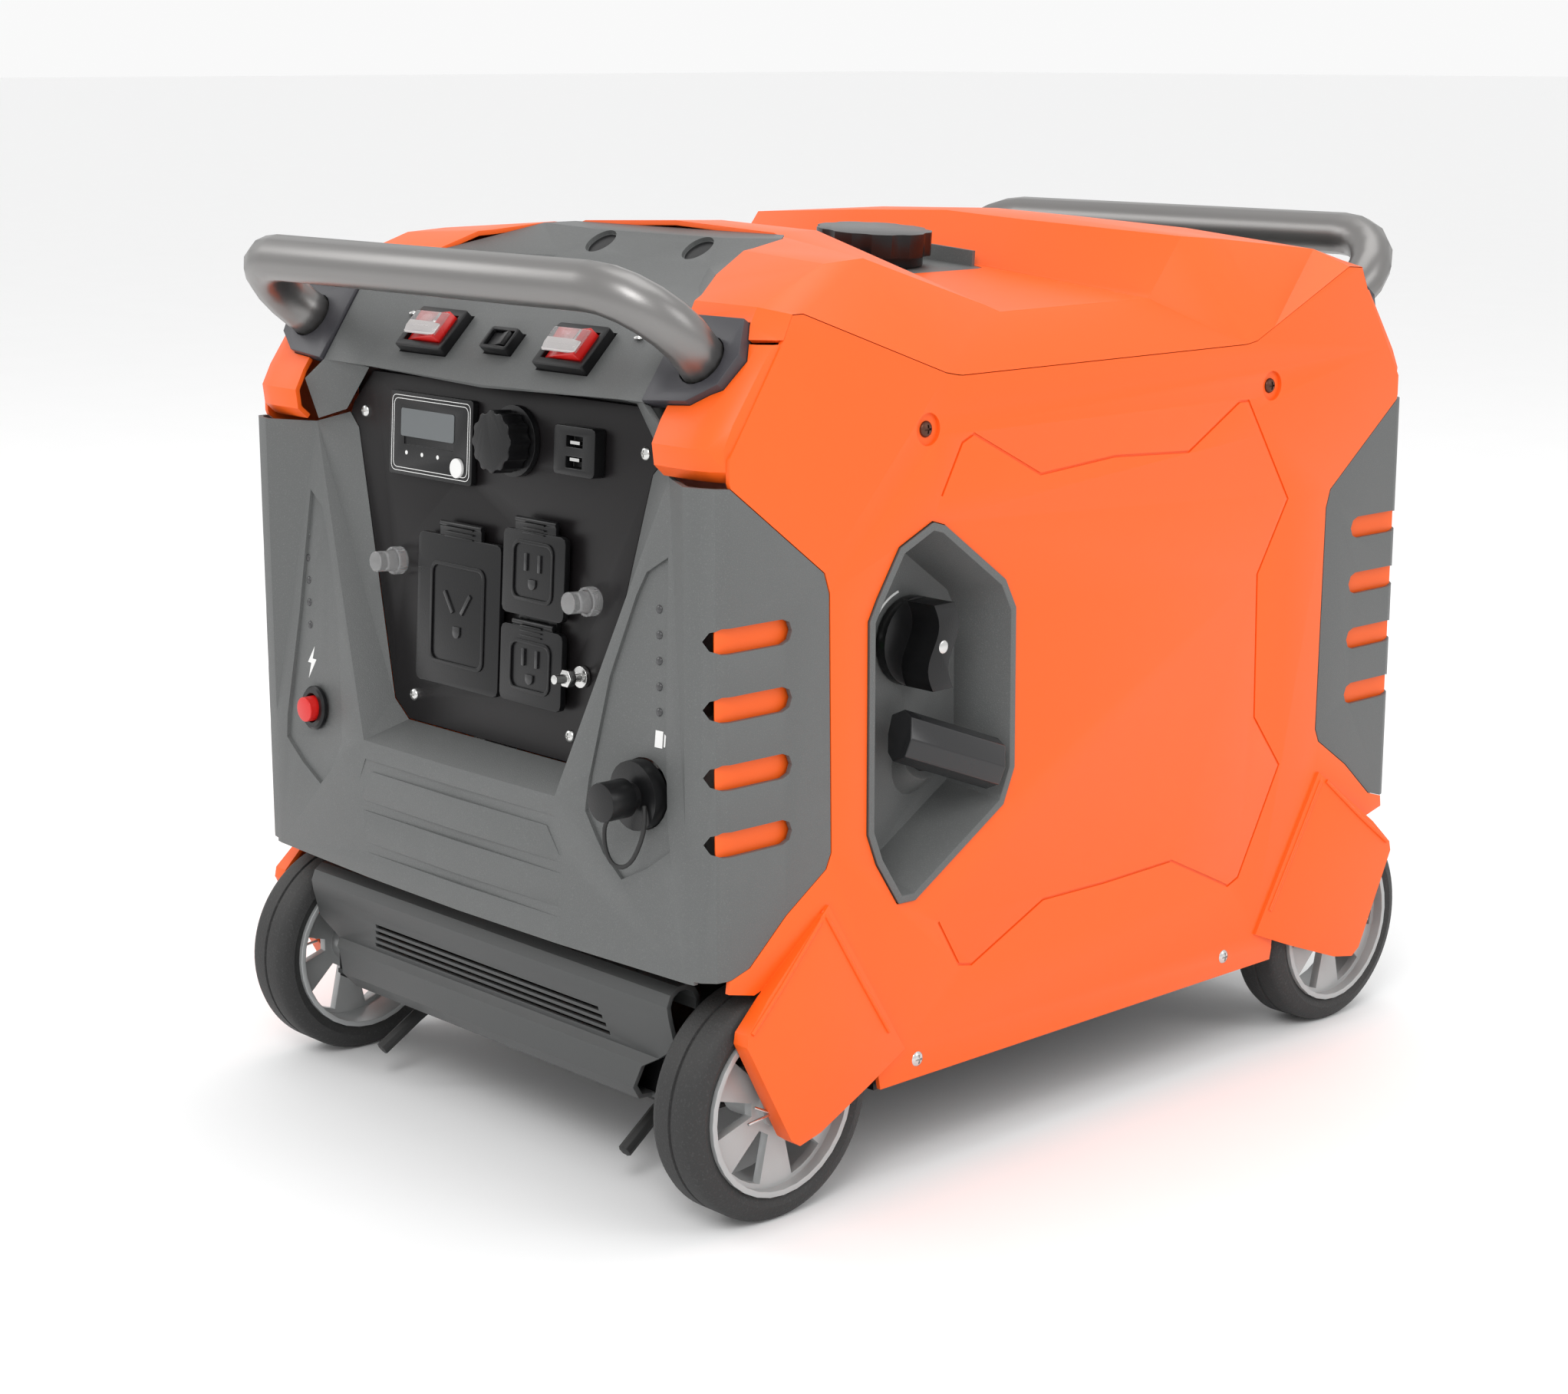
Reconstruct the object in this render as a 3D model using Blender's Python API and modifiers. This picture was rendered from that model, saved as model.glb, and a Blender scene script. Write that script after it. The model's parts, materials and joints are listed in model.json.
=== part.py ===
"""Portable inverter generator: enclosed petrol and gas set on four wheels.

Frame: metres, +Z up, origin on the ground under the middle of the wheelbase.
The control panel faces -Y, the recoil starter is on the +X side.
"""
from math import atan2, cos, degrees, hypot, pi, radians, sin

import bmesh
import bpy
from mathutils import Matrix, Vector

# ---- Driving dimensions (metres) -------------------------------------------------
SIDE_X = 0.224            # outer face of the side covers
HALF_LENGTH = 0.316       # front and rear faces at the body corners
BODY_RISE = 0.416         # roof above the top of the wheels
WALL = 0.003              # wall of the moulded covers
GAP = 0.0005              # clearance between neighbouring pieces

WHEEL_RADIUS = 0.070
WHEEL_WIDTH = 0.0384
WHEEL_OUTER_X = 0.2232    # outer plane of the tyres
RIM_RADIUS = 0.0544
AXLE_RADIUS = 0.006
AXLE_FROM_END = 0.0545    # axle behind the front face, and ahead of the rear face
BORE_CLEARANCE = 0.0004

SHEET = 0.003             # steel pan and skid
PAN_DROP = 0.0115         # underside of the pan below the axles
PAN_CLEARANCE = 0.0065    # pan to tyre

TUBE_RADIUS = 0.0144      # lifting handles
HANDLE_Z = 0.5345
HANDLE_REACH = 0.0195     # handle bar in front of the body corner
HANDLE_HALF = 0.2066
HANDLE_BEND = 0.042

PANEL_LEAN = 3.6          # control panel leans back, degrees
PANEL_SHEET = 0.0025
CONSOLE_LEAN = 45.0       # switch console, degrees back from upright
PLATE_LEAN = 35.1         # handle foot plates, degrees back from upright

FLAP_THICK = 0.004
CAP_RADIUS = 0.0375       # fuel cap
CAP_LOBES = 9
FILLER_TILT = 4.0
FILLER_RADIUS = 0.026
KNOB_RADIUS = 0.027       # fuel selector
GRIP_LENGTH = 0.074       # recoil starter grip
INLET_RADIUS = 0.020      # gas inlet flange
BUTTON_RADIUS = 0.0065    # breaker buttons

# The body's outlines are stated for these sizes. Its ends and sides shift, its height
# scales and its wheel arches grow with the driving dimensions above.
STATED_SIDE = 0.224
STATED_HALF_LENGTH = 0.316
STATED_WHEEL = 0.070
STATED_ROOF = 0.556
MIDDLE_Y = 0.160
MIDDLE_X = 0.180
SKIRT_Z = 0.200

ROOF_Z = 2 * WHEEL_RADIUS + BODY_RISE
LIFT = 2 * (WHEEL_RADIUS - STATED_WHEEL)
PAN_FLOOR = WHEEL_RADIUS - PAN_DROP
AXLE_Y = HALF_LENGTH - AXLE_FROM_END
PAN_MIDDLE_Y = AXLE_Y - WHEEL_RADIUS - PAN_CLEARANCE
WHEEL_MID_X = WHEEL_OUTER_X - WHEEL_WIDTH / 2 + (SIDE_X - STATED_SIDE)
MERGE = 0.00001
ROUND_STEPS = 32


# ---- Placing -----------------------------------------------------------------------
def place_x(x):
    """A stated crosswise position on the body at its driving width."""
    if abs(x) <= MIDDLE_X:
        return x
    return x + (SIDE_X - STATED_SIDE) * (1 if x > 0 else -1)


def place_y(y):
    """A stated lengthwise position on the body at its driving length."""
    if abs(y) <= MIDDLE_Y:
        return y
    return y + (HALF_LENGTH - STATED_HALF_LENGTH) * (1 if y > 0 else -1)


def place_z(z):
    """A stated height on the body at its driving wheel and roof heights."""
    if z <= 2 * STATED_WHEEL:
        return z * WHEEL_RADIUS / STATED_WHEEL
    if z <= SKIRT_Z:
        return z + LIFT
    rise = (ROOF_Z - SKIRT_Z - LIFT) / (STATED_ROOF - SKIRT_Z)
    return SKIRT_Z + LIFT + (z - SKIRT_Z) * rise


def place(point):
    """A stated point on the driving body."""
    return (place_x(point[0]), place_y(point[1]), place_z(point[2]))


def side_outline(points):
    """Stated (y, z) points placed on the driving body."""
    return [(place_y(y), place_z(z)) for y, z in points]


def arch_outline(points):
    """Stated (y, z) points around the front wheel, grown with the wheel."""
    grow = WHEEL_RADIUS / STATED_WHEEL
    stated_axle = STATED_HALF_LENGTH - AXLE_FROM_END
    return [(-AXLE_Y + (y + stated_axle) * grow, WHEEL_RADIUS + (z - STATED_WHEEL) * grow)
            for y, z in points]


def front_outline(points):
    """Stated (x, z) points placed on the driving body."""
    return [(place_x(x), place_z(z)) for x, z in points]


# ---- Outlines ------------------------------------------------------------------------
def arc(centre, radius, start, end, count):
    """Points along an arc, angles in degrees, both ends included."""
    points = []
    for index in range(count + 1):
        angle = radians(start + (end - start) * index / count)
        points.append((centre[0] + radius * cos(angle), centre[1] + radius * sin(angle)))
    return points


def circle(centre, radius, count):
    """A closed round outline."""
    return arc(centre, radius, 0, 360 - 360 / count, count - 1)


def rectangle(left, right, low, high, corner=0.0, count=2):
    """A rectangle, with round corners when corner is given."""
    if corner <= 0:
        return [(left, low), (right, low), (right, high), (left, high)]
    points = arc((left + corner, low + corner), corner, 180, 270, count)
    points += arc((right - corner, low + corner), corner, 270, 360, count)
    points += arc((right - corner, high - corner), corner, 0, 90, count)
    points += arc((left + corner, high - corner), corner, 90, 180, count)
    return points


def stadium(start, end, height, radius, count=4):
    """A slot outline with round ends, lying along the first axis."""
    points = arc((end - radius, height), radius, -90, 90, count)
    return points + arc((start + radius, height), radius, 90, 270, count)


def mirrored(half):
    """Close an outline whose +x half runs from top to bottom."""
    return half + [(-x, z) for x, z in reversed(half) if abs(x) > MERGE]


def inset(outline, distance):
    """Shrink a closed outline by a distance, or grow it when that is negative."""
    area = 0.0
    for (ax, ay), (bx, by) in zip(outline, outline[1:] + outline[:1]):
        area += ax * by - bx * ay
    sign = 1 if area > 0 else -1
    moved = []
    for index, (bx, by) in enumerate(outline):
        ax, ay = outline[index - 1]
        cx, cy = outline[(index + 1) % len(outline)]
        before = Vector((bx - ax, by - ay)).normalized()
        after = Vector((cx - bx, cy - by)).normalized()
        normal_a = Vector((-before.y, before.x)) * sign
        normal_b = Vector((-after.y, after.x)) * sign
        bisector = (normal_a + normal_b).normalized()
        reach = distance / max(0.3, bisector.dot(normal_a))
        moved.append((bx + bisector.x * reach, by + bisector.y * reach))
    return moved


# ---- Collections, materials and filing --------------------------------------------------
def clear_scene():
    """Start from an empty scene."""
    for item in list(bpy.data.objects):
        bpy.data.objects.remove(item, do_unlink=True)


def make_collection(name):
    """A new collection in the scene."""
    collection = bpy.data.collections.new(name)
    bpy.context.scene.collection.children.link(collection)
    return collection


clear_scene()
PARTS = make_collection("portable_generator")
TOOLS = make_collection("cutters")

FINISHES = {
    "orange": ((0.92, 0.13, 0.015), 0.42, 0.0),
    "grey": ((0.128, 0.133, 0.131), 0.55, 0.0),
    "slate": ((0.043, 0.042, 0.048), 0.5, 0.0),
    "black": ((0.012, 0.012, 0.012), 0.4, 0.0),
    "label": ((0.017, 0.014, 0.015), 0.45, 0.0),
    "satin_tube": ((0.17, 0.165, 0.16), 0.35, 0.8),
    "tyre": ((0.022, 0.022, 0.022), 0.85, 0.0),
    "rim": ((0.42, 0.43, 0.43), 0.4, 0.0),
    "steel": ((0.45, 0.45, 0.44), 0.35, 1.0),
    "cast": ((0.35, 0.35, 0.34), 0.55, 0.9),
    "red": ((0.75, 0.03, 0.02), 0.35, 0.0),
    "clear": ((0.75, 0.77, 0.77), 0.2, 0.0),
    "pan": ((0.10, 0.105, 0.105), 0.5, 0.3),
}


def finish_material(name):
    """The Principled material of a named finish, made once."""
    if name in bpy.data.materials:
        return bpy.data.materials[name]
    colour, roughness, metallic = FINISHES[name]
    material = bpy.data.materials.new(name)
    material.use_nodes = True
    shader = material.node_tree.nodes["Principled BSDF"]
    shader.inputs["Base Color"].default_value = (*colour, 1.0)
    shader.inputs["Roughness"].default_value = roughness
    shader.inputs["Metallic"].default_value = metallic
    return material


def new_object(name, mesh):
    """A mesh object in the cutters collection until it is filed as a part."""
    item = bpy.data.objects.new(name, mesh)
    TOOLS.objects.link(item)
    item.hide_render = True
    item.display_type = "WIRE"
    return item


def file_part(item, finish, parent=None, origin=None):
    """File a finished piece with its finish, its parent frame and its origin."""
    TOOLS.objects.unlink(item)
    PARTS.objects.link(item)
    item.hide_render = False
    item.display_type = "TEXTURED"
    item.data.materials.clear()
    item.data.materials.append(finish_material(finish))
    if origin is not None:
        item.data.transform(Matrix.Translation(-Vector(origin)))
        item.location = origin
    if parent is not None:
        adopt(item, parent)
    return item


def adopt(item, parent):
    """Put a piece and the solids that shape it in a parent frame."""
    item.parent = parent
    for modifier in item.modifiers:
        if modifier.type == "BOOLEAN":
            adopt(modifier.object, parent)


def make_frame(name, location, lean):
    """An empty whose local Z runs up a face that leans back by lean degrees."""
    empty = bpy.data.objects.new(name, None)
    PARTS.objects.link(empty)
    empty.location = location
    empty.rotation_euler = (-radians(lean), 0, 0)
    return empty


# Thin covers whose walls the exact solver leaves open.
THIN_COVERS = ("base_pan", "side_cover_right", "side_cover_left", "top_cover")


# ---- Shapes --------------------------------------------------------------------------------
def mesh_from(holder):
    """Turn a curve object into a welded mesh object in the same place."""
    bpy.context.view_layer.update()
    graph = bpy.context.evaluated_depsgraph_get()
    mesh = bpy.data.meshes.new_from_object(holder.evaluated_get(graph))
    mesh.transform(holder.matrix_world)
    work = bmesh.new()
    work.from_mesh(mesh)
    bmesh.ops.remove_doubles(work, verts=work.verts, dist=MERGE)
    bmesh.ops.recalc_face_normals(work, faces=work.faces)
    work.to_mesh(mesh)
    work.free()
    name = holder.name
    bpy.data.objects.remove(holder, do_unlink=True)
    return new_object(name, mesh)


AXES = {
    "X": Matrix(((0, 0, 1), (1, 0, 0), (0, 1, 0))).to_4x4(),
    "Y": Matrix(((1, 0, 0), (0, 0, -1), (0, 1, 0))).to_4x4(),
    "Z": Matrix.Identity(4),
}


def slab(name, outlines, axis, low, high):
    """Outlines in the two other axes, extruded along one axis from low to high."""
    curve = bpy.data.curves.new(name, "CURVE")
    curve.dimensions = "2D"
    curve.fill_mode = "BOTH"
    curve.extrude = abs(high - low) / 2
    for outline in outlines:
        spline = curve.splines.new("POLY")
        spline.points.add(len(outline) - 1)
        for point, (across, up) in zip(spline.points, outline):
            point.co = (across, up, 0, 1)
        spline.use_cyclic_u = True
    holder = bpy.data.objects.new(name, curve)
    TOOLS.objects.link(holder)
    middle = (low + high) / 2
    holder.matrix_world = AXES[axis] @ Matrix.Translation((0, 0, -middle if axis == "Y" else middle))
    return mesh_from(holder)


def box(name, low, high):
    """A box between two corners."""
    work = bmesh.new()
    bmesh.ops.create_cube(work, size=1)
    for vertex in work.verts:
        for axis in range(3):
            middle = (low[axis] + high[axis]) / 2
            vertex.co[axis] = middle + vertex.co[axis] * (high[axis] - low[axis])
    mesh = bpy.data.meshes.new(name)
    work.to_mesh(mesh)
    work.free()
    return new_object(name, mesh)


def rod(name, start, end, radius, sides=16, end_radius=None):
    """A cylinder or cone between two points."""
    start, end = Vector(start), Vector(end)
    run = end - start
    turn = run.to_track_quat("Z", "Y").to_matrix().to_4x4()
    work = bmesh.new()
    bmesh.ops.create_cone(
        work, cap_ends=True, segments=sides, radius1=radius,
        radius2=radius if end_radius is None else end_radius, depth=run.length,
        matrix=Matrix.Translation((start + end) / 2) @ turn)
    mesh = bpy.data.meshes.new(name)
    work.to_mesh(mesh)
    work.free()
    return new_object(name, mesh)


def turned(name, profile, closed, steps=ROUND_STEPS):
    """A profile of (radius, height) points, down its outer side, turned about Z."""
    mesh = bpy.data.meshes.new(name)
    edges = [(index, index + 1) for index in range(len(profile) - 1)]
    if closed:
        edges.append((len(profile) - 1, 0))
    mesh.from_pydata([(radius, 0, height) for radius, height in profile], edges, [])
    item = new_object(name, mesh)
    screw = item.modifiers.new("turn", "SCREW")
    screw.angle = 2 * pi
    screw.steps = steps
    screw.render_steps = steps
    screw.use_merge_vertices = True
    screw.merge_threshold = MERGE
    return item


def tube(name, points, radius, resolution):
    """A round bar along a list of points."""
    curve = bpy.data.curves.new(name, "CURVE")
    curve.dimensions = "3D"
    curve.bevel_depth = radius
    curve.bevel_resolution = resolution
    curve.use_fill_caps = True
    spline = curve.splines.new("POLY")
    spline.points.add(len(points) - 1)
    for target, point in zip(spline.points, points):
        target.co = (*point, 1)
    holder = bpy.data.objects.new(name, curve)
    TOOLS.objects.link(holder)
    return mesh_from(holder)


def skin(name, grids, wall, mirror=True, inside=(0, 0, 0.3), even=True):
    """Open surface from grids of points, mirrored and given a wall on its inner side."""
    work = bmesh.new()
    for rows in grids:
        made = [[work.verts.new(point) for point in row] for row in rows]
        for upper, lower in zip(made, made[1:]):
            for index in range(len(upper) - 1):
                a, b, c, d = upper[index], upper[index + 1], lower[index + 1], lower[index]
                if (a.co - c.co).length <= (b.co - d.co).length:
                    work.faces.new((a, b, c))
                    work.faces.new((a, c, d))
                else:
                    work.faces.new((a, b, d))
                    work.faces.new((b, c, d))
    bmesh.ops.remove_doubles(work, verts=work.verts, dist=MERGE)
    bmesh.ops.dissolve_degenerate(work, edges=work.edges, dist=MERGE)
    bmesh.ops.recalc_face_normals(work, faces=work.faces)
    centre = Vector(inside)
    facing = sum((face.calc_center_median() - centre).dot(face.normal) * face.calc_area()
                 for face in work.faces)
    if facing < 0:
        bmesh.ops.reverse_faces(work, faces=work.faces)
    mesh = bpy.data.meshes.new(name)
    work.to_mesh(mesh)
    work.free()
    item = new_object(name, mesh)
    if mirror:
        other = item.modifiers.new("mirror", "MIRROR")
        other.merge_threshold = MERGE
    shell = item.modifiers.new("wall", "SOLIDIFY")
    shell.thickness = wall
    shell.offset = -1
    shell.use_even_offset = even
    return item


def frustum(name, first, second, x_first, x_second):
    """A closed loft between two outlines with the same number of points, along X."""
    work = bmesh.new()
    start = [work.verts.new((x_first, y, z)) for y, z in first]
    end = [work.verts.new((x_second, y, z)) for y, z in second]
    count = len(start)
    work.faces.new(start)
    work.faces.new(list(reversed(end)))
    for index in range(count):
        after = (index + 1) % count
        work.faces.new((start[after], start[index], end[index], end[after]))
    bmesh.ops.recalc_face_normals(work, faces=work.faces)
    mesh = bpy.data.meshes.new(name)
    work.to_mesh(mesh)
    work.free()
    return new_object(name, mesh)


def combine(target, tools, operation):
    """Join, cut or keep with other solids."""
    for tool in tools:
        boolean = target.modifiers.new(tool.name, "BOOLEAN")
        boolean.operation = operation
        boolean.solver = "MANIFOLD" if target.name in THIN_COVERS else "EXACT"
        boolean.object = tool
    return target


def join(target, *tools):
    """Join solids to the target."""
    return combine(target, tools, "UNION")


def cut(target, *tools):
    """Cut solids from the target."""
    return combine(target, tools, "DIFFERENCE")


def turn_to(item, direction, location):
    """Point a turned piece's Z along a direction at a location."""
    item.rotation_euler = Vector(direction).to_track_quat("Z", "Y").to_euler()
    item.location = location
    return item


# ---- Shared outlines of the body ---------------------------------------------------------
# Border between the grey end cover and the orange side cover, front end, (y, z).
BORDER = [(-0.302, 0.429), (-0.232, 0.375), (-0.228, 0.363), (-0.226, 0.213),
          (-0.230, 0.204), (-0.261, 0.183), (-0.289, 0.158), (-0.304, 0.1535)]
# Seam between the side covers and the roof, (y, z).
SEAM = [(-0.2625, 0.506), (-0.256, 0.5195), (-0.248, 0.5195), (-0.136, 0.4795), (-0.126, 0.4775),
        (-0.122, 0.477), (0.136, 0.477), (0.140, 0.4773), (0.148, 0.4785), (0.165, 0.486),
        (0.242, 0.5205), (0.256, 0.5195), (0.2625, 0.506)]
# Roof rows at the same stations, (x, y, z): rim of the chamfer, shoulder and centre.
RIM = [(0.207, -0.2755, 0.506), (0.203, -0.2625, 0.5225), (0.196, -0.206, 0.5427),
       (0.196, -0.1757, 0.5443), (0.196, -0.0748, 0.5123), (0.196, -0.0618, 0.5076),
       (0.196, 0.0725, 0.5079), (0.196, 0.076, 0.511), (0.196, 0.1035, 0.5446),
       (0.196, 0.1436, 0.5412), (0.196, 0.240, 0.5305), (0.203, 0.2625, 0.5225),
       (0.207, 0.2755, 0.506)]
SHOULDER = [(0.100, -0.2755, 0.506), (0.090, -0.2625, 0.5235), (0.090, -0.200, 0.548),
            (0.090, -0.150, 0.5525), (0.075, -0.096, 0.551), (0.075, -0.062, 0.520),
            (0.075, 0.064, 0.520), (0.075, 0.083, 0.5513), (0.075, 0.110, 0.5525),
            (0.075, 0.140, 0.551), (0.090, 0.240, 0.5395), (0.090, 0.2625, 0.5235),
            (0.100, 0.2755, 0.506)]
CREST = [(0, -0.2755, 0.506), (0, -0.2625, 0.524), (0, -0.195, 0.553), (0, -0.145, 0.556),
         (0, -0.107, 0.5547), (0, -0.070, 0.525), (0, 0.072, 0.525), (0, 0.095, 0.5535),
         (0, 0.125, 0.554), (0, 0.145, 0.553), (0, 0.238, 0.543), (0, 0.2625, 0.526),
         (0, 0.2755, 0.506)]
# Plan outline that the front hood fills in the roof, +x half from the rear, (x, y).
HOOD_PLAN = [(0.0985, -0.1445), (0.1125, -0.1595), (0.1345, -0.2315), (0.1495, -0.2555),
             (0.1545, -0.272), (0.1545, -0.310)]
COWL_PLAN = [(0.130, 0.238), (0.1545, 0.272), (0.1545, 0.310)]
# Recess for the starter on the right side, (y, z).
POCKET = [(-0.146, 0.395), (-0.173, 0.383), (-0.191, 0.355), (-0.1975, 0.343), (-0.1975, 0.218),
          (-0.190, 0.199), (-0.172, 0.1715), (-0.158, 0.171), (-0.083, 0.216), (-0.0735, 0.238),
          (-0.0745, 0.336), (-0.084, 0.354), (-0.136, 0.392)]
FENDER = [(-0.283, 0.1405), (-0.229, 0.183), (-0.166, 0.082), (-0.200, 0.068), (-0.243, 0.052),
          (-0.261, 0.049), (-0.268, 0.054), (-0.301, 0.117), (-0.300, 0.1235)]
# Control panel plate, +x half from the top, (x, height above the ground).
PLATE = [(0.128, 0.464), (0.148, 0.443), (0.1515, 0.436), (0.142, 0.427), (0.097, 0.262),
         (0.082, 0.251)]
PANEL_FOOT = (0, -0.2972, 0.250)
CONSOLE_FOOT = (0, -0.2954, 0.4697)
HANDLE_FOOT = (0.1863, -0.2877, 0.4935)
SLOT_HEIGHTS = (0.346, 0.308, 0.270, 0.232)


def flip(points):
    """The same (y, z) outline at the rear end."""
    return [(-y, z) for y, z in points]


def flip_sides(points):
    """The same points on the rear end, (x, y, z)."""
    return [(x, -y, z) for x, y, z in points]


# ---- Chassis and wheels ----------------------------------------------------------------------
def make_base_pan():
    """Folded steel tray that carries the engine and the axles."""
    middle_x = SIDE_X - WALL - 5 * GAP
    end_x = WHEEL_MID_X - WHEEL_WIDTH / 2 - 0.006
    middle_y = PAN_MIDDLE_Y
    end_y = HALF_LENGTH - 0.026
    rim_z = PAN_FLOOR + 0.0365

    def plan(edge):
        half = [(end_x - edge, end_y - edge), (end_x - edge, middle_y - edge),
                (middle_x - edge, middle_y - edge)]
        quarter = half + [(x, -y) for x, y in reversed(half)]
        return quarter + [(-x, -y) for x, y in quarter]

    pan = slab("base_pan", [plan(0)], "Z", PAN_FLOOR, rim_z)
    cut(pan, slab("pan_inside", [plan(SHEET)], "Z", PAN_FLOOR + SHEET, rim_z + 0.01))
    tail = box("pan_tail", (-end_x + 0.012, end_y - SHEET + 0.0004, PAN_FLOOR + 0.0010),
               (end_x - 0.012, end_y - 0.0004, place_z(0.148)))
    join(pan, tail)
    for end in (-1, 1):
        hole = rod(f"pan_axle_hole_{end}", (-0.25, end * AXLE_Y, WHEEL_RADIUS),
                   (0.25, end * AXLE_Y, WHEEL_RADIUS), AXLE_RADIUS + BORE_CLEARANCE)
        cut(pan, hole)
    return file_part(pan, "pan")


def make_skid():
    """Rolled and folded steel skid below the front cover, with a louvred grille."""
    roll = arc((-0.2975, 0.127), 0.0128, -20, 205, 7)
    fold = roll + [(-0.3015, 0.0915), (-0.3075, 0.088), (-0.3095, 0.072), (-0.302, 0.0625),
                   (-0.2906, 0.0610)]
    half = 0.178
    fold = side_outline(fold)
    rows = [[(0, y, z) for y, z in fold], [(half, y, z) for y, z in fold]]
    skid = skin("front_skid", [rows], SHEET, inside=(0, place_y(-0.285), place_z(0.090)))
    corner = [(0.138, 0.050), (0.152, 0.086), (0.180, 0.104), (0.200, 0.104), (0.200, 0.050)]
    for side in (-1, 1):
        outline = [(side * x, place_z(z)) for x, z in corner]
        cut(skid, slab(f"skid_corner_{side}", [outline], "Y", place_y(-0.33), place_y(-0.292)))
    for index in range(4):
        height = place_z(0.0965 + index * 0.0048)
        half_slot = 0.118 - index * 0.002
        cut(skid, slab(f"skid_louvre_{index}", [rectangle(-half_slot, half_slot, height - 0.0013,
                                                          height + 0.0013)], "Y",
                       place_y(-0.325), place_y(-0.296)))
    return file_part(skid, "grey")


def make_axles():
    """One steel axle rod for each pair of wheels."""
    reach = WHEEL_MID_X + WHEEL_WIDTH / 2 + 0.005
    for name, end in (("front_axle", -1), ("rear_axle", 1)):
        axle = rod(name, (-reach, end * AXLE_Y, WHEEL_RADIUS),
                   (reach, end * AXLE_Y, WHEEL_RADIUS), AXLE_RADIUS)
        file_part(axle, "steel")


def tyre_profile():
    """Closed section of the solid rubber tyre."""
    half = WHEEL_WIDTH / 2
    shoulder = 0.0055
    inner = RIM_RADIUS + 0.0003
    crown = [(radius, height) for radius, height in
             arc((WHEEL_RADIUS - shoulder, half - shoulder), shoulder, 90, 0, 2)]
    return [(inner, half)] + crown + [(r, -h) for r, h in reversed(crown)] + [(inner, -half)]


def make_rim(name):
    """Moulded rim: barrel, six wedge spokes and hub."""
    half = WHEEL_WIDTH / 2
    barrel_inner = RIM_RADIUS - 0.0034
    barrel = [(barrel_inner, half), (RIM_RADIUS, half), (RIM_RADIUS, -half),
              (barrel_inner, -half)]
    rim = turned(name, barrel, True)
    web_outer = RIM_RADIUS - 0.0015
    windows = []
    for index in range(6):
        middle = index * 60 + 30
        outer = arc((0, 0), RIM_RADIUS - 0.0062, middle - 15, middle + 15, 3)
        inner = arc((0, 0), 0.0190, middle + 12, middle - 12, 1)
        windows.append(outer + inner)
    web = slab(f"{name}_web", [circle((0, 0), web_outer, ROUND_STEPS)] + windows, "Z",
               half - 0.013, half - 0.007)
    hub = rod(f"{name}_hub", (0, 0, -half + 0.001), (0, 0, half - 0.003), 0.0135, 20)
    join(rim, web, hub)
    cut(rim, rod(f"{name}_bore", (0, 0, -0.1), (0, 0, 0.1), AXLE_RADIUS + BORE_CLEARANCE))
    return rim


def make_wheels():
    """Four wheels, each a rubber tyre on a rim."""
    for end_name, end in (("front", -1), ("rear", 1)):
        for side_name, side in (("left", -1), ("right", 1)):
            centre = (side * WHEEL_MID_X, end * AXLE_Y, WHEEL_RADIUS)
            tyre = turned(f"tyre_{end_name}_{side_name}", tyre_profile(), True)
            rim = make_rim(f"rim_{end_name}_{side_name}")
            for item, finish in ((tyre, "tyre"), (rim, "rim")):
                item.location = centre
                item.rotation_euler = (0, side * pi / 2, 0)
                file_part(item, finish)
            for boolean in rim.modifiers:
                if boolean.type == "BOOLEAN":
                    boolean.object.location = centre
                    boolean.object.rotation_euler = (0, side * pi / 2, 0)


# ---- Covers --------------------------------------------------------------------------------
def end_slots(name, end):
    """Cutters for the four vents on each side of an end cover."""
    tools = []
    for index, height in enumerate(SLOT_HEIGHTS):
        outline = side_outline(stadium(-0.3135, -0.256, height, 0.0072))
        if end > 0:
            outline = flip(outline)
        for side in (-1, 1):
            low, high = sorted((side * (SIDE_X - 0.02), side * (SIDE_X + 0.01)))
            tools.append(slab(f"{name}_slot_{index}_{side}", [outline], "X", low, high))
    return tools


def border_tools(name, end):
    """Cutters that trim an end cover to its border with the side covers."""
    outline = BORDER + [(-0.330, 0.1505), (-0.330, 0.120), (-0.100, 0.120), (-0.100, 0.460),
                        (-0.330, 0.460), (-0.330, 0.4305)]
    outline = side_outline(outline)
    if end > 0:
        outline = flip(outline)
    tools = []
    for side in (-1, 1):
        low, high = sorted((side * (SIDE_X - 0.0165), side * (SIDE_X + 0.01)))
        tools.append(slab(f"{name}_border_{side}", [outline], "X", low, high))
    return tools


def corner_columns(z, end=-1):
    """Plan of a body corner, from the side face round to the end face."""
    plan = [(0.224, 0.220), (0.224, 0.302), (0.2205, 0.3095), (0.2125, 0.3145), (0.202, 0.3163)]
    return [place((x, end * y, z)) for x, y in plan]


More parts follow.
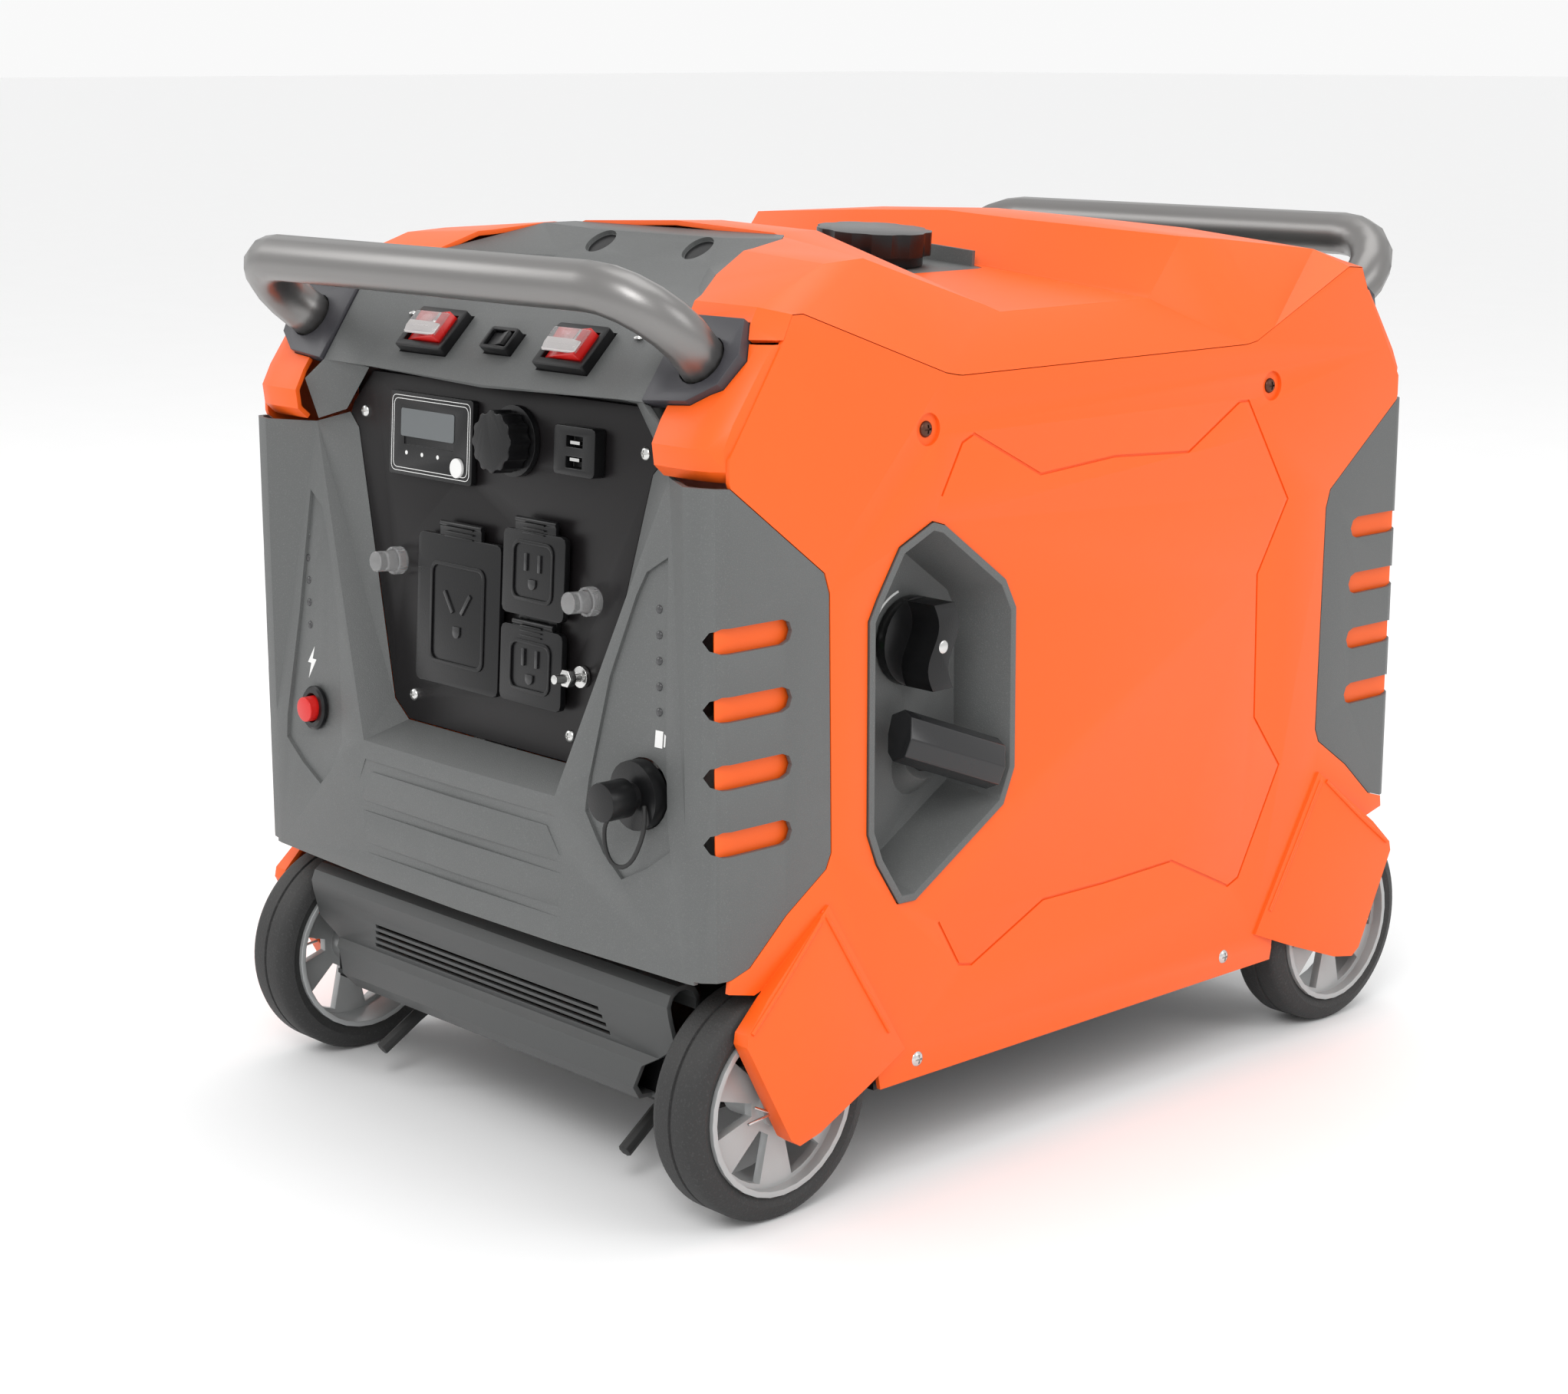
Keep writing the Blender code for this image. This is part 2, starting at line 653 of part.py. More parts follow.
def make_front_fascia():
    """Grey front cover with the control panel recess between two columns."""
    low, crest, high = 0.150, 0.239, 0.4295
    plate = [(x, z) for x, z in inset(mirrored(PLATE), -GAP)]
    lean = sin(radians(PANEL_LEAN))

    def plate_edge(index):
        x, z = plate[index]
        return place((x, PANEL_FOOT[1] + (z - PANEL_FOOT[2]) * lean, z))

    crest_low = place((0.095, -0.3228, crest))
    crest_high = place((0.1705, -0.2985, high))
    foot_edge = plate_edge(5)
    bend_edge = plate_edge(4)
    top_edge = plate_edge(3)
    tip_edge = plate_edge(2)
    front_face = [
        corner_columns(low) + [place((0.095, -0.3222, low)), place((0, -0.324, low))],
        corner_columns(crest) + [crest_low, place((0, -0.324, crest))],
    ]
    column = [corner_columns(crest) + [crest_low], corner_columns(high) + [crest_high]]
    sill = [[crest_low, place((0, -0.324, crest))], [foot_edge, (0, foot_edge[1], foot_edge[2])]]
    cheek = [[crest_low, foot_edge], [crest_low, bend_edge],
             [crest_high, top_edge], [crest_high, tip_edge]]
    fascia = skin("front_fascia", [front_face, column, sill, cheek], WALL,
                  inside=(0, 0.2, 0.25))
    cut(fascia, *border_tools("front", -1))
    cut(fascia, *end_slots("front", -1))
    grooves = (
        [(0.094, 0.2272), (0.106, 0.2045), (0.098, 0.2045), (0.087, 0.2200)],
        [(0.107, 0.2002), (0.118, 0.1790), (0.110, 0.1790), (0.100, 0.1935)],
        [(0.1905, 0.1730), (0.1905, 0.1560), (0.182, 0.1560), (0.182, 0.1665)],
    )
    for index, (top, foot, inner_foot, inner_top) in enumerate(grooves):
        outline = mirrored([top, foot, inner_foot, inner_top])
        cut(fascia, slab(f"groove_{index}", [front_outline(outline)], "Y", place_y(-0.335),
                         place_y(-0.3222)))
    inlet = (0.1645, 0.2522)
    cut(fascia, slab("inlet_seat", [circle((inlet[0], place_z(inlet[1])), INLET_RADIUS + GAP, 24)],
                     "Y", place_y(-0.34), place_y(-0.30)))
    cut(fascia, slab("reset_seat", [circle((-0.155, place_z(0.249)), 0.0086, 20)], "Y",
                     place_y(-0.34), place_y(-0.30)))
    return file_part(fascia, "grey")


def make_rear_fascia():
    """Grey rear cover with louvres, the exhaust opening and the upper cowl."""
    low, high = 0.150, 0.4295
    inner = 0.1530

    def row(z, y_inner, y_centre):
        return [place((inner, y_inner, z)), place((0, y_centre, z))]

    lower = [corner_columns(low, 1) + row(low, 0.3190, 0.322),
             corner_columns(high, 1) + row(high, 0.3150, 0.319)]
    upper = [row(high, 0.3150, 0.319), row(0.4700, 0.3035, 0.3065), row(0.5155, 0.2725, 0.274),
             [place((0.1285, 0.2390, 0.5365)), place((0, 0.2390, 0.5425))]]
    fascia = skin("rear_fascia", [lower, upper], WALL)
    cut(fascia, *border_tools("rear", 1))
    cut(fascia, *end_slots("rear", 1))
    cut(fascia, box("cowl_edge", (-0.2, 0.1, place_z(0.50)),
                    (0.2, place_y(0.2380) + GAP, place_z(0.60))))
    for index in range(7):
        height = place_z(0.300 + index * 0.016)
        louvre = rectangle(-0.125, 0.125, height - 0.0035, height + 0.0035)
        cut(fascia, slab(f"louvre_{index}", [louvre], "Y", place_y(0.29), place_y(0.34)))
    cut(fascia, slab("exhaust_hole", [circle((0.060, place_z(0.215)), 0.026, 20)], "Y",
                     place_y(0.29), place_y(0.34)))
    return file_part(fascia, "grey")


def foot_plate_outline(grow=0.0):
    """Foot plate of a handle in its leaning face, (x, distance up the face)."""
    outline = [(0.1553, 0.000), (0.1900, 0.0030), (0.2080, 0.0150), (0.2135, 0.0340),
               (0.2040, 0.0560), (0.1553, 0.0556)]
    spread = SIDE_X - STATED_SIDE
    return [(x + spread, up) for x, up in inset(outline, -grow)]


def handle_face(end):
    """Frame of the leaning face that carries the handle feet at one end."""
    name = "front_handle_face" if end < 0 else "rear_handle_face"
    face = make_frame(name, place((0, -0.3040, 0.4705)), PLATE_LEAN)
    if end > 0:
        face.location.y = -face.location.y
        face.rotation_euler = (-radians(PLATE_LEAN), 0, pi)
    return face


def foot_tools(name, end, depth):
    """Cutters for the two foot plates of one handle."""
    face = FACES[end]
    bpy.context.view_layer.update()
    tools = []
    for side in (-1, 1):
        outline = [(side * x, up) for x, up in foot_plate_outline(GAP)]
        tool = slab(f"{name}_foot_{end}_{side}", [outline], "Y", -depth, depth)
        tool.data.transform(face.matrix_world)
        tools.append(tool)
    return tools


def fender_slope(name, side, end, depth):
    """Block outside a fender's sloping face, or outside its hollow at a depth."""
    apex, foot, tip = [Vector((side * x, -end * y, z)) for x, (y, z) in
                       zip((SIDE_X + 0.0018, SIDE_X + 0.0018, SIDE_X + 0.012),
                           arch_outline([FENDER[1], FENDER[2], FENDER[7]]))]
    along = (foot - apex).normalized()
    normal = along.cross(tip - apex).normalized()
    if normal.x * side < 0:
        normal = -normal
    across = normal.cross(along)
    block = box(name, (-0.3, -0.3, -depth), (0.3, 0.3, 0.1))
    turn = Matrix((along, across, normal)).transposed().to_4x4()
    block.data.transform(Matrix.Translation(apex) @ turn)
    return block


def make_side_cover(side):
    """Orange side cover with its corner wraps and the two wheel fenders."""
    name = "side_cover_right" if side > 0 else "side_cover_left"
    top = [(y, z - GAP) for y, z in SEAM]
    ends = [(-0.2890, 0.4650), (-0.3020, 0.4450)]
    front = [(y + 2 * GAP, z) for y, z in reversed(BORDER)]
    rear = flip(list(reversed(front)))
    outline = [(-0.304, 0.1460)] + front + [(-0.3020, 0.4320)] + list(reversed(ends)) + top
    outline += flip(ends) + [(0.3020, 0.4320)] + rear + [(0.304, 0.1460)]
    outline = side_outline(outline)
    arch = WHEEL_RADIUS + 0.005
    sill = place_z(0.0604)
    outline += arc((AXLE_Y, WHEEL_RADIUS), arch, 72, 180, 5)
    outline += [(AXLE_Y - arch - 0.002, sill), (-AXLE_Y + arch + 0.002, sill)]
    outline += arc((-AXLE_Y, WHEEL_RADIUS), arch, 0, 108, 5)
    inner, outer = side * (SIDE_X - WALL), side * SIDE_X
    loops = [outline]
    if side > 0:
        loops.append(side_outline(POCKET))
    cover = slab(name, loops, "X", min(inner, outer), max(inner, outer))

    wrap_line = [(-0.2765, 0.5037), (-0.2890, 0.4865), (-0.3060, 0.4625), (-0.3125, 0.4500),
                 (-0.3110, 0.4380), (-0.3040, 0.4315)]
    wrap_plan = [(0.1725, 0.0), (0.2020, 0.0), (0.2145, 0.0030), (0.2215, 0.0085),
                 (0.2237, 0.0185)]
    fender_face = SIDE_X + 0.012
    for end in (-1, 1):
        rows = []
        for y, z in wrap_line:
            row = []
            for x, back in wrap_plan:
                spot = place((x, y, z))
                row.append((side * spot[0], -end * (spot[1] + back), spot[2]))
            rows.append(row)
        wrap = skin(f"{name}_wrap_{end}", [rows], WALL, mirror=False,
                    inside=(side * 0.12, end * 0.18, place_z(0.42)))
        fender = arch_outline(FENDER)
        hollow = inset(fender, WALL)
        if end > 0:
            fender, hollow = flip(fender), flip(hollow)
        flare = slab(f"{name}_flare_{end}", [fender], "X",
                     *sorted((inner, side * (fender_face + 0.004))))
        cut(flare, fender_slope(f"{name}_slope_{end}", side, end, 0))
        space = slab(f"{name}_hollow_{end}", [hollow], "X",
                     *sorted((side * (SIDE_X - 0.02), side * (fender_face + 0.004))))
        cut(space, fender_slope(f"{name}_hollow_slope_{end}", side, end, WALL))
        join(cover, wrap, flare)
        cut(cover, space)
        cut(cover, rod(f"{name}_arch_{end}", (side * (SIDE_X - 0.04), end * AXLE_Y, WHEEL_RADIUS),
                       (side * (SIDE_X + 0.0004), end * AXLE_Y, WHEEL_RADIUS), arch + 0.0005, 32))
        cut(cover, *foot_tools(name, end, 0.010))
    return file_part(cover, "orange")


def make_top_cover():
    """Orange roof: two humps with the filler valley between them."""
    seam = [(0.224, y, z) for y, z in SEAM]
    rows = [[place(point) for point in line] for line in (CREST, SHOULDER, RIM, seam)]
    roof = skin("top_cover", [rows], WALL)
    hood = [(x, place_y(y)) for x, y in HOOD_PLAN]
    cowl = [(x, place_y(y)) for x, y in COWL_PLAN]
    low, high = place_z(0.44), place_z(0.60)
    cut(roof, slab("hood_opening", [mirrored(hood)], "Z", low, high))
    cut(roof, slab("cowl_opening", [mirrored(cowl)], "Z", low, high))
    cut(roof, slab("tray_opening", [inset(tray_plan(), -GAP)], "Z", low, high))
    below = SEAM + [(0.2900, 0.506), (0.2900, 0.420), (-0.2900, 0.420), (-0.2900, 0.506)]
    for side in (-1, 1):
        cut(roof, slab(f"roof_seat_{side}", [side_outline(below)], "X",
                       *sorted((side * (SIDE_X - WALL - GAP), side * (SIDE_X + 0.01)))))
    for end in (-1, 1):
        cut(roof, *foot_tools("roof", end, 0.014))
    return file_part(roof, "orange")


def make_console_hood():
    """Grey hood: the switch console and the trough that rises to the roof."""
    centre = [(0, -0.2985, 0.4666), (0, -0.2530, 0.5120), (0, -0.1950, 0.5220),
              (0, -0.1780, 0.5340), (0, -0.1580, 0.5485), (0, -0.1450, 0.5515)]
    edge = [(0.1240, -0.2965, 0.4686), (0.1120, -0.2530, 0.5120), (0.0860, -0.2020, 0.5230),
            (0.0720, -0.1810, 0.5330), (0.0600, -0.1580, 0.5485), (0.0600, -0.1450, 0.5515)]
    border = [(0.1538, -0.3030, 0.4700), (0.1538, -0.2720, 0.5155), (0.1485, -0.2553, 0.5205),
              (0.1335, -0.2310, 0.5345), (0.1117, -0.1593, 0.5505), (0.0980, -0.1450, 0.5515)]
    rows = [[place(point) for point in line] for line in (centre, edge, border)]
    cheek = [[edge[0], border[0], (0.1710, -0.3060, 0.4570)],
             [(0.1292, -0.2862, 0.4655), (0.1524, -0.2880, 0.4378), (0.1700, -0.2975, 0.4312)]]
    cheek = [[place(point) for point in row] for row in cheek]
    hood = skin("console_hood", [rows, cheek], WALL, inside=(0, 0, 0.2), even=False)
    keep = inset(mirrored([(x, place_y(y)) for x, y in HOOD_PLAN]), GAP)
    around = rectangle(-0.200, 0.200, place_y(-0.305), place_y(-0.120))
    cut(hood, slab("hood_border", [around, keep], "Z", place_z(0.4715), place_z(0.60)))
    cut(hood, *foot_tools("hood", -1, 0.010))
    for name, left, right, low, high in SWITCH_SEATS:
        seat = slab(f"{name}_hole", [rectangle(left - GAP, right + GAP, low - GAP, high + GAP)],
                    "Y", -0.01, 0.01)
        seat.data.transform(CONSOLE.matrix_world)
        cut(hood, seat)
    return file_part(hood, "grey")


# ---- Starter recess -----------------------------------------------------------------------
SELECTOR_AT = (-0.129, 0.318)
ROPE_AT = Vector((0.190, -0.126, 0.244))
PULL = Vector((0.908, 0.0, 0.419)).normalized()
BAR = Vector((0.163, 0.920, -0.355)).normalized()


def make_starter_bezel():
    """Grey dish in the right cover around the fuel selector and the starter grip."""
    floor_x = SIDE_X - 0.036
    mouth = inset(side_outline(POCKET), GAP)
    bezel = frustum("starter_bezel", mouth, inset(mouth, 0.009), SIDE_X + 0.0015, floor_x - WALL)
    cut(bezel, frustum("bezel_cavity", inset(mouth, 0.0045), inset(mouth, 0.0145),
                       SIDE_X + 0.0016, floor_x))
    base = ROPE_AT + Vector((SIDE_X - STATED_SIDE, 0, place_z(ROPE_AT.z) - ROPE_AT.z))
    boss = rod("rope_boss", base - PULL * 0.010, base + PULL * 0.006, 0.018, 16, 0.013)
    cut(boss, box("boss_trim", (floor_x - 0.05, -0.3, 0.0), (floor_x - 0.001, 0.1, 0.9)))
    join(bezel, boss)
    cut(bezel, rod("rope_hole", base - PULL * 0.05, base + PULL * 0.05, 0.0035, 12))
    cut(bezel, rod("selector_hole", (floor_x - 0.02, SELECTOR_AT[0], place_z(SELECTOR_AT[1])),
                   (floor_x + 0.02, SELECTOR_AT[0], place_z(SELECTOR_AT[1])), 0.0055))
    return file_part(bezel, "grey")


def make_fuel_selector():
    """Rotary knob: round skirt, waved grip and its spindle."""
    floor_x = SIDE_X - 0.036
    y, z = SELECTOR_AT[0], place_z(SELECTOR_AT[1])
    knob = rod("fuel_selector", (floor_x + 0.001, y, z), (floor_x + 0.008, y, z), KNOB_RADIUS, 28)
    grip = []
    for index in range(13):
        up = KNOB_RADIUS * 0.95 * (1 - index / 6)
        wave = 0.0045 * sin(index / 12 * 2 * pi)
        grip.append((y + 0.0085 + wave, z + up))
    for index in range(13):
        up = KNOB_RADIUS * 0.95 * (index / 6 - 1)
        wave = 0.0045 * sin((12 - index) / 12 * 2 * pi)
        grip.append((y - 0.0085 + wave, z + up))
    join(knob, slab("selector_grip", [grip], "X", floor_x + 0.006, floor_x + 0.030))
    join(knob, rod("selector_spindle", (floor_x - 0.020, y, z), (floor_x + 0.004, y, z), 0.005, 12))
    return file_part(knob, "black", origin=(floor_x, y, z))


def make_starter_grip():
    """Faceted T grip of the recoil starter on its rubber stem."""
    base = ROPE_AT + Vector((SIDE_X - STATED_SIDE, 0, place_z(ROPE_AT.z) - ROPE_AT.z))
    section = [(-0.006, -0.0165), (0.007, -0.0165), (0.013, -0.006), (0.013, 0.009),
               (0.006, 0.0165), (-0.007, 0.0165), (-0.011, 0.004), (-0.011, -0.009)]
    grip = slab("starter_grip", [section], "Y", -GRIP_LENGTH / 2, GRIP_LENGTH / 2)
    work = bmesh.new()
    work.from_mesh(grip.data)
    for vertex in work.verts:
        nearness = abs(vertex.co.y) / (GRIP_LENGTH / 2)
        vertex.co.x *= 1 - 0.10 * nearness
        vertex.co.z *= 1 - 0.10 * nearness
    work.to_mesh(grip.data)
    work.free()
    up = PULL.cross(BAR)
    turn = Matrix((PULL, BAR, up)).transposed().to_4x4()
    centre = base + PULL * 0.0285 + BAR * 0.002
    grip.data.transform(Matrix.Translation(centre) @ turn)
    join(grip, rod("grip_stem", base + PULL * 0.0065, base + PULL * 0.022, 0.0085, 14, 0.0065))
    return file_part(grip, "black", origin=base)


# ---- Lifting handles --------------------------------------------------------------------------
def handle_path(end):
    """Points of a handle tube: straight legs, round bends and a straight bar."""
    foot = Vector(place(HANDLE_FOOT))
    bar_y = place_y(-STATED_HALF_LENGTH) - HANDLE_REACH
    corner = Vector((HANDLE_HALF + SIDE_X - STATED_SIDE, bar_y, place_z(HANDLE_Z)))
    leg = (foot - corner).normalized()
    bar = Vector((-1, 0, 0))
    angle = leg.angle(bar)
    trim = HANDLE_BEND / (sin(angle / 2) / cos(angle / 2))
    centre = corner + (leg + bar).normalized() * (HANDLE_BEND / sin(angle / 2))
    first = corner + leg * trim - centre
    last = corner + bar * trim - centre
    sweep = pi - angle
    half = [foot + leg * 0.005]
    for index in range(7):
        share = index / 6
        half.append(centre + (first * sin((1 - share) * sweep) + last * sin(share * sweep))
                    / sin(sweep))
    path = half + [Vector((-point.x, point.y, point.z)) for point in reversed(half)]
    return [Vector((point.x, -end * point.y, point.z)) for point in path]


def make_handle(name, end):
    """Tubular lifting handle."""
    return file_part(tube(name, handle_path(end), TUBE_RADIUS, 4), "satin_tube")


def make_handle_mount(name, end):
    """Cross member inside the body whose two ends are the foot plates of a handle."""
    face = FACES[end]
    bpy.context.view_layer.update()
    plates = []
    for side in (-1, 1):
        outline = [(side * x, up) for x, up in foot_plate_outline()]
        plate = slab(f"{name}_plate_{side}", [outline], "Y", -0.0015, 0.007)
        plate.data.transform(face.matrix_world)
        plates.append(plate)
    near, far = place_y(-0.288), place_y(-0.236)
    low, high = place_z(0.474), place_z(0.486)
    inner, outer = 0.156, 0.176
    mount = box(name, (-outer, *sorted((-end * far, -end * (far - 0.012)))[:1], low),
                (outer, sorted((-end * far, -end * (far - 0.012)))[1], high))
    for side in (-1, 1):
        x_low, x_high = sorted((side * inner, side * outer))
        y_low, y_high = sorted((-end * near, -end * far))
        join(mount, box(f"{name}_arm_{side}", (x_low, y_low, low), (x_high, y_high, high)))
    join(mount, *plates)
    path = handle_path(end)
    for side, (tip, after) in ((1, path[:2]), (-1, (path[-1], path[-2]))):
        run = (tip - after).normalized()
        cut(mount, rod(f"{name}_socket_{side}", tip + run * 0.0012, tip - run * 0.04,
                       TUBE_RADIUS + GAP, 20))
    return file_part(mount, "slate")


# ---- Control panel -----------------------------------------------------------------------------
def up_panel(z):
    """Distance up the panel face for a stated height above the ground."""
    return (place_z(z) - place_z(PANEL_FOOT[2])) / cos(radians(PANEL_LEAN))


def panel_rectangle(left, right, low, high, corner=0.0):
    """A rectangle on the panel face from stated heights."""
    return rectangle(left, right, up_panel(low), up_panel(high), corner)


def on_panel(name, outlines, back, front):
    """A slab on the panel face; back and front are distances out of the face."""
    return slab(name, outlines, "Y", -front, -back)


def make_control_panel():
    """Black plate that carries the outlets, with their openings."""
    plate = [(x, up_panel(z)) for x, z in mirrored(PLATE)]
    panel = on_panel("control_panel", [plate], -PANEL_SHEET, 0)
    holes = [panel_rectangle(*RV_BODY), panel_rectangle(*DUPLEX_BODY)]
    for index, outline in enumerate(holes):
        cut(panel, on_panel(f"outlet_hole_{index}", [inset(outline, -GAP)], -0.02, 0.02))
    for name, x, z in BREAKERS:
        hole = circle((x, up_panel(z)), BUTTON_RADIUS + GAP, 16)
        cut(panel, on_panel(f"{name}_hole", [hole], -0.02, 0.02))
    button = circle((DISPLAY_BUTTON[0], up_panel(DISPLAY_BUTTON[1])), 0.0045, 12)
    cut(panel, on_panel("display_button_hole", [button], -0.02, 0.02))
    return file_part(panel, "label", PANEL)


RV_BODY = (-0.051, 0.001, 0.296, 0.356)
DUPLEX_BODY = (0.029, 0.065, 0.288, 0.377)
BREAKERS = (("breaker_left", -0.0945, 0.349), ("breaker_right", 0.0945, 0.349))
DISPLAY_BUTTON = (-0.033, 0.4125)
PARALLEL_AT = (0.020, 0.434)
GROUND_AT = (0.088, 0.304)


def make_display():
    """Display bezel with its window, and the round mode button."""
    outline = panel_rectangle(-0.103, -0.019, 0.403, 0.454, 0.002)
    module = on_panel("display_module", [outline], GAP, 0.0045)
    window = panel_rectangle(-0.088, -0.038, 0.422, 0.443)
    cut(module, on_panel("display_window", [window], 0.0035, 0.01))
    spot = (DISPLAY_BUTTON[0], up_panel(DISPLAY_BUTTON[1]))
    cut(module, on_panel("button_seat", [circle(spot, 0.0064, 20)], 0.001, 0.01))
    cut(module, on_panel("button_stem_hole", [circle(spot, 0.0040, 12)], -0.01, 0.01))
    file_part(module, "black", PANEL)
    button = on_panel("display_button", [circle(spot, 0.0060, 20)], 0.0027, 0.0060)
    join(button, on_panel("button_stem", [circle(spot, 0.0035, 12)], -0.006, 0.003))
    file_part(button, "clear", PANEL, (spot[0], 0, spot[1]))


def make_parallel_port():
    """Parallel connection socket and its knurled cap."""
    x, up = PARALLEL_AT[0], up_panel(PARALLEL_AT[1])
    socket = on_panel("parallel_socket", [circle((x, up), 0.0212, 28)], GAP, 0.0045)
    join(socket, on_panel("parallel_neck", [circle((x, up), 0.0125, 20)], 0.003, 0.016))
    cut(socket, on_panel("parallel_bore", [circle((x, up), 0.0095, 16)], 0.004, 0.03))
    file_part(socket, "black", PANEL)
    knurl = []
    for index in range(48):
        angle = index / 48 * 2 * pi
        radius = 0.0185 if index % 4 in (0, 1) else 0.0170
        knurl.append((x + radius * cos(angle), up + radius * sin(angle)))
    cap = on_panel("parallel_cap", [knurl], 0.0055, 0.0205)
    cut(cap, on_panel("parallel_cap_cavity", [circle((x, up), 0.0132, 20)], 0.0, 0.0170))
    file_part(cap, "black", PANEL, (x, -0.0055, up))


def make_usb_socket():
    """Raised double USB block."""
    block = on_panel("usb_socket", [panel_rectangle(0.064, 0.101, 0.420, 0.4485, 0.003)],
                     GAP, 0.009)
    for index, low in enumerate((0.4245, 0.4365)):
        port = panel_rectangle(0.075, 0.090, low, low + 0.0065)
        cut(block, on_panel(f"usb_port_{index}", [port], 0.0025, 0.02))
    file_part(block, "black", PANEL)


def blade_slots(prefix, blades):
    """Cutters for the blade and earth slots of an outlet."""
    tools = []
    for index, (x, z, width, height, angle) in enumerate(blades):
        outline = []
        for across, along in rectangle(-width / 2, width / 2, -height / 2, height / 2):
            turned_x = across * cos(angle) - along * sin(angle)
            turned_z = across * sin(angle) + along * cos(angle)
            outline.append((x + turned_x, up_panel(z) + turned_z))
        tools.append(on_panel(f"{prefix}_blade_{index}", [outline], -0.012, 0.01))
    return tools


def make_outlets():
    """The 30 A outlet and the 20 A duplex outlet, with their hinged flaps."""
    rv = on_panel("rv_outlet", [panel_rectangle(*RV_BODY)], -0.026, 0.003)
    cut(rv, *blade_slots("rv", ((-0.0375, 0.317, 0.0028, 0.012, radians(35)),
                                (-0.0125, 0.317, 0.0028, 0.012, radians(-35)),
                                (-0.025, 0.337, 0.0065, 0.0065, 0))))
    file_part(rv, "black", PANEL)
    duplex = on_panel("duplex_outlet", [panel_rectangle(*DUPLEX_BODY)], -0.026, 0.003)
    for index, middle in enumerate((0.3545, 0.3075)):
        cut(duplex, *blade_slots(f"duplex_{index}", ((0.0407, middle + 0.005, 0.0020, 0.0088, 0),
                                                     (0.0534, middle + 0.005, 0.0020, 0.0078, 0),
                                                     (0.0470, middle - 0.0085, 0.0050, 0.0050, 0))))
    file_part(duplex, "black", PANEL)
    flaps = (("rv_flap", -0.066, 0.016, 0.280, 0.3715, 0.3785, 0.0205),
             ("duplex_flap_upper", 0.018, 0.076, 0.3335, 0.3835, 0.3895, 0.0190),
             ("duplex_flap_lower", 0.018, 0.076, 0.281, 0.3270, 0.3290, 0.0190))
    for name, left, right, low, high, hinge, tab in flaps:
        flap = on_panel(name, [panel_rectangle(left, right, low, high, 0.004)],
                        0.0035, 0.0035 + FLAP_THICK)
        middle = (left + right) / 2
        knuckle_depth = 0.0035 + FLAP_THICK / 2
        centre = up_panel(hinge)
        join(flap, on_panel(f"{name}_tab", [rectangle(middle - tab, middle + tab,
                                                      up_panel(high) - 0.004, centre)],
                            0.0042, 0.0028 + FLAP_THICK))
        join(flap, rod(f"{name}_knuckle", (middle - tab, -knuckle_depth, centre),
                       (middle + tab, -knuckle_depth, centre), FLAP_THICK / 2, 12))
        file_part(flap, "black", PANEL, (middle, -knuckle_depth, centre))


def make_breakers():
    """Push-to-reset breakers: each button slides through the panel."""
    for name, x, z in BREAKERS:
        button = on_panel(name, [circle((x, up_panel(z)), BUTTON_RADIUS, 16)], -0.012, 0.0195)
        file_part(button, "clear", PANEL, (x, 0, up_panel(z)))


def make_ground_terminal():
    """Earth stud with its nut and washer."""
    x, up = GROUND_AT[0], up_panel(GROUND_AT[1])
    stud = on_panel("ground_terminal", [circle((x, up), 0.0065, 16)], GAP, 0.0035)
    join(stud, on_panel("ground_bolt", [circle((x, up), 0.0028, 12)], 0.002, 0.0225))
    join(stud, on_panel("ground_nut", [circle((x, up), 0.0055, 6)], 0.0095, 0.0145))
    file_part(stud, "steel", PANEL)


# ---- Console switches ------------------------------------------------------------------------
# name, left, right, low and high edges up the console face
SWITCH_SEATS = (("engine_switch", -0.0955, -0.0490, 0.0125, 0.0440),
                ("start_switch", 0.0400, 0.0865, 0.0115, 0.0430),
                ("eco_switch", -0.0165, 0.0095, 0.0185, 0.0350))


def make_switches():
    """Rocker switches: a framed housing and a rocker that tilts in it."""
    for name, left, right, low, high in SWITCH_SEATS:
        small = name == "eco_switch"
        housing = slab(name, [rectangle(left, right, low, high, 0.002)], "Y", -0.0060, 0.0120)
        rim = 0.0025 if small else 0.0050
        opening = rectangle(left + rim, right - rim, low + rim, high - rim)
        cut(housing, slab(f"{name}_well", [opening], "Y", -0.02, 0.0090))
        file_part(housing, "black", CONSOLE)
        rocker_name = name.replace("switch", "rocker")
        middle, height = (left + right) / 2, (low + high) / 2
        half = (right - left) / 2 - rim - 0.0012
        crown = 0.0075 if small else 0.0110
        wings = [(-half, -0.004), (-half * 0.15, -crown + 0.003), (half - 0.002, -crown),
                 (half, -0.001),
                 (half * 0.25, 0.0065), (-half * 0.25, 0.0065)]
        rocker = slab(rocker_name, [[(middle + x, -y) for x, y in wings]], "Z",
                      low + rim + 0.0008, high - rim - 0.0008)
        rocker.data.transform(Matrix.Scale(-1, 4, (0, 1, 0)))
        rocker.data.flip_normals()
        finish = "black" if small else "red"
        file_part(rocker, finish, CONSOLE, (middle, 0, height))


# ---- Front column fittings ------------------------------------------------------------------
RESET_AT = (-0.155, 0.249)
INLET_AT = (0.1645, 0.2522)


def make_reset_button():
    """Main reset push button in the left column."""
    x, z = RESET_AT[0], place_z(RESET_AT[1])
    button = slab("reset_button", [circle((x, z), 0.0080, 20)], "Y", place_y(-0.3265),
                  place_y(-0.300))
    return file_part(button, "red", origin=(x, place_y(-0.318), z))


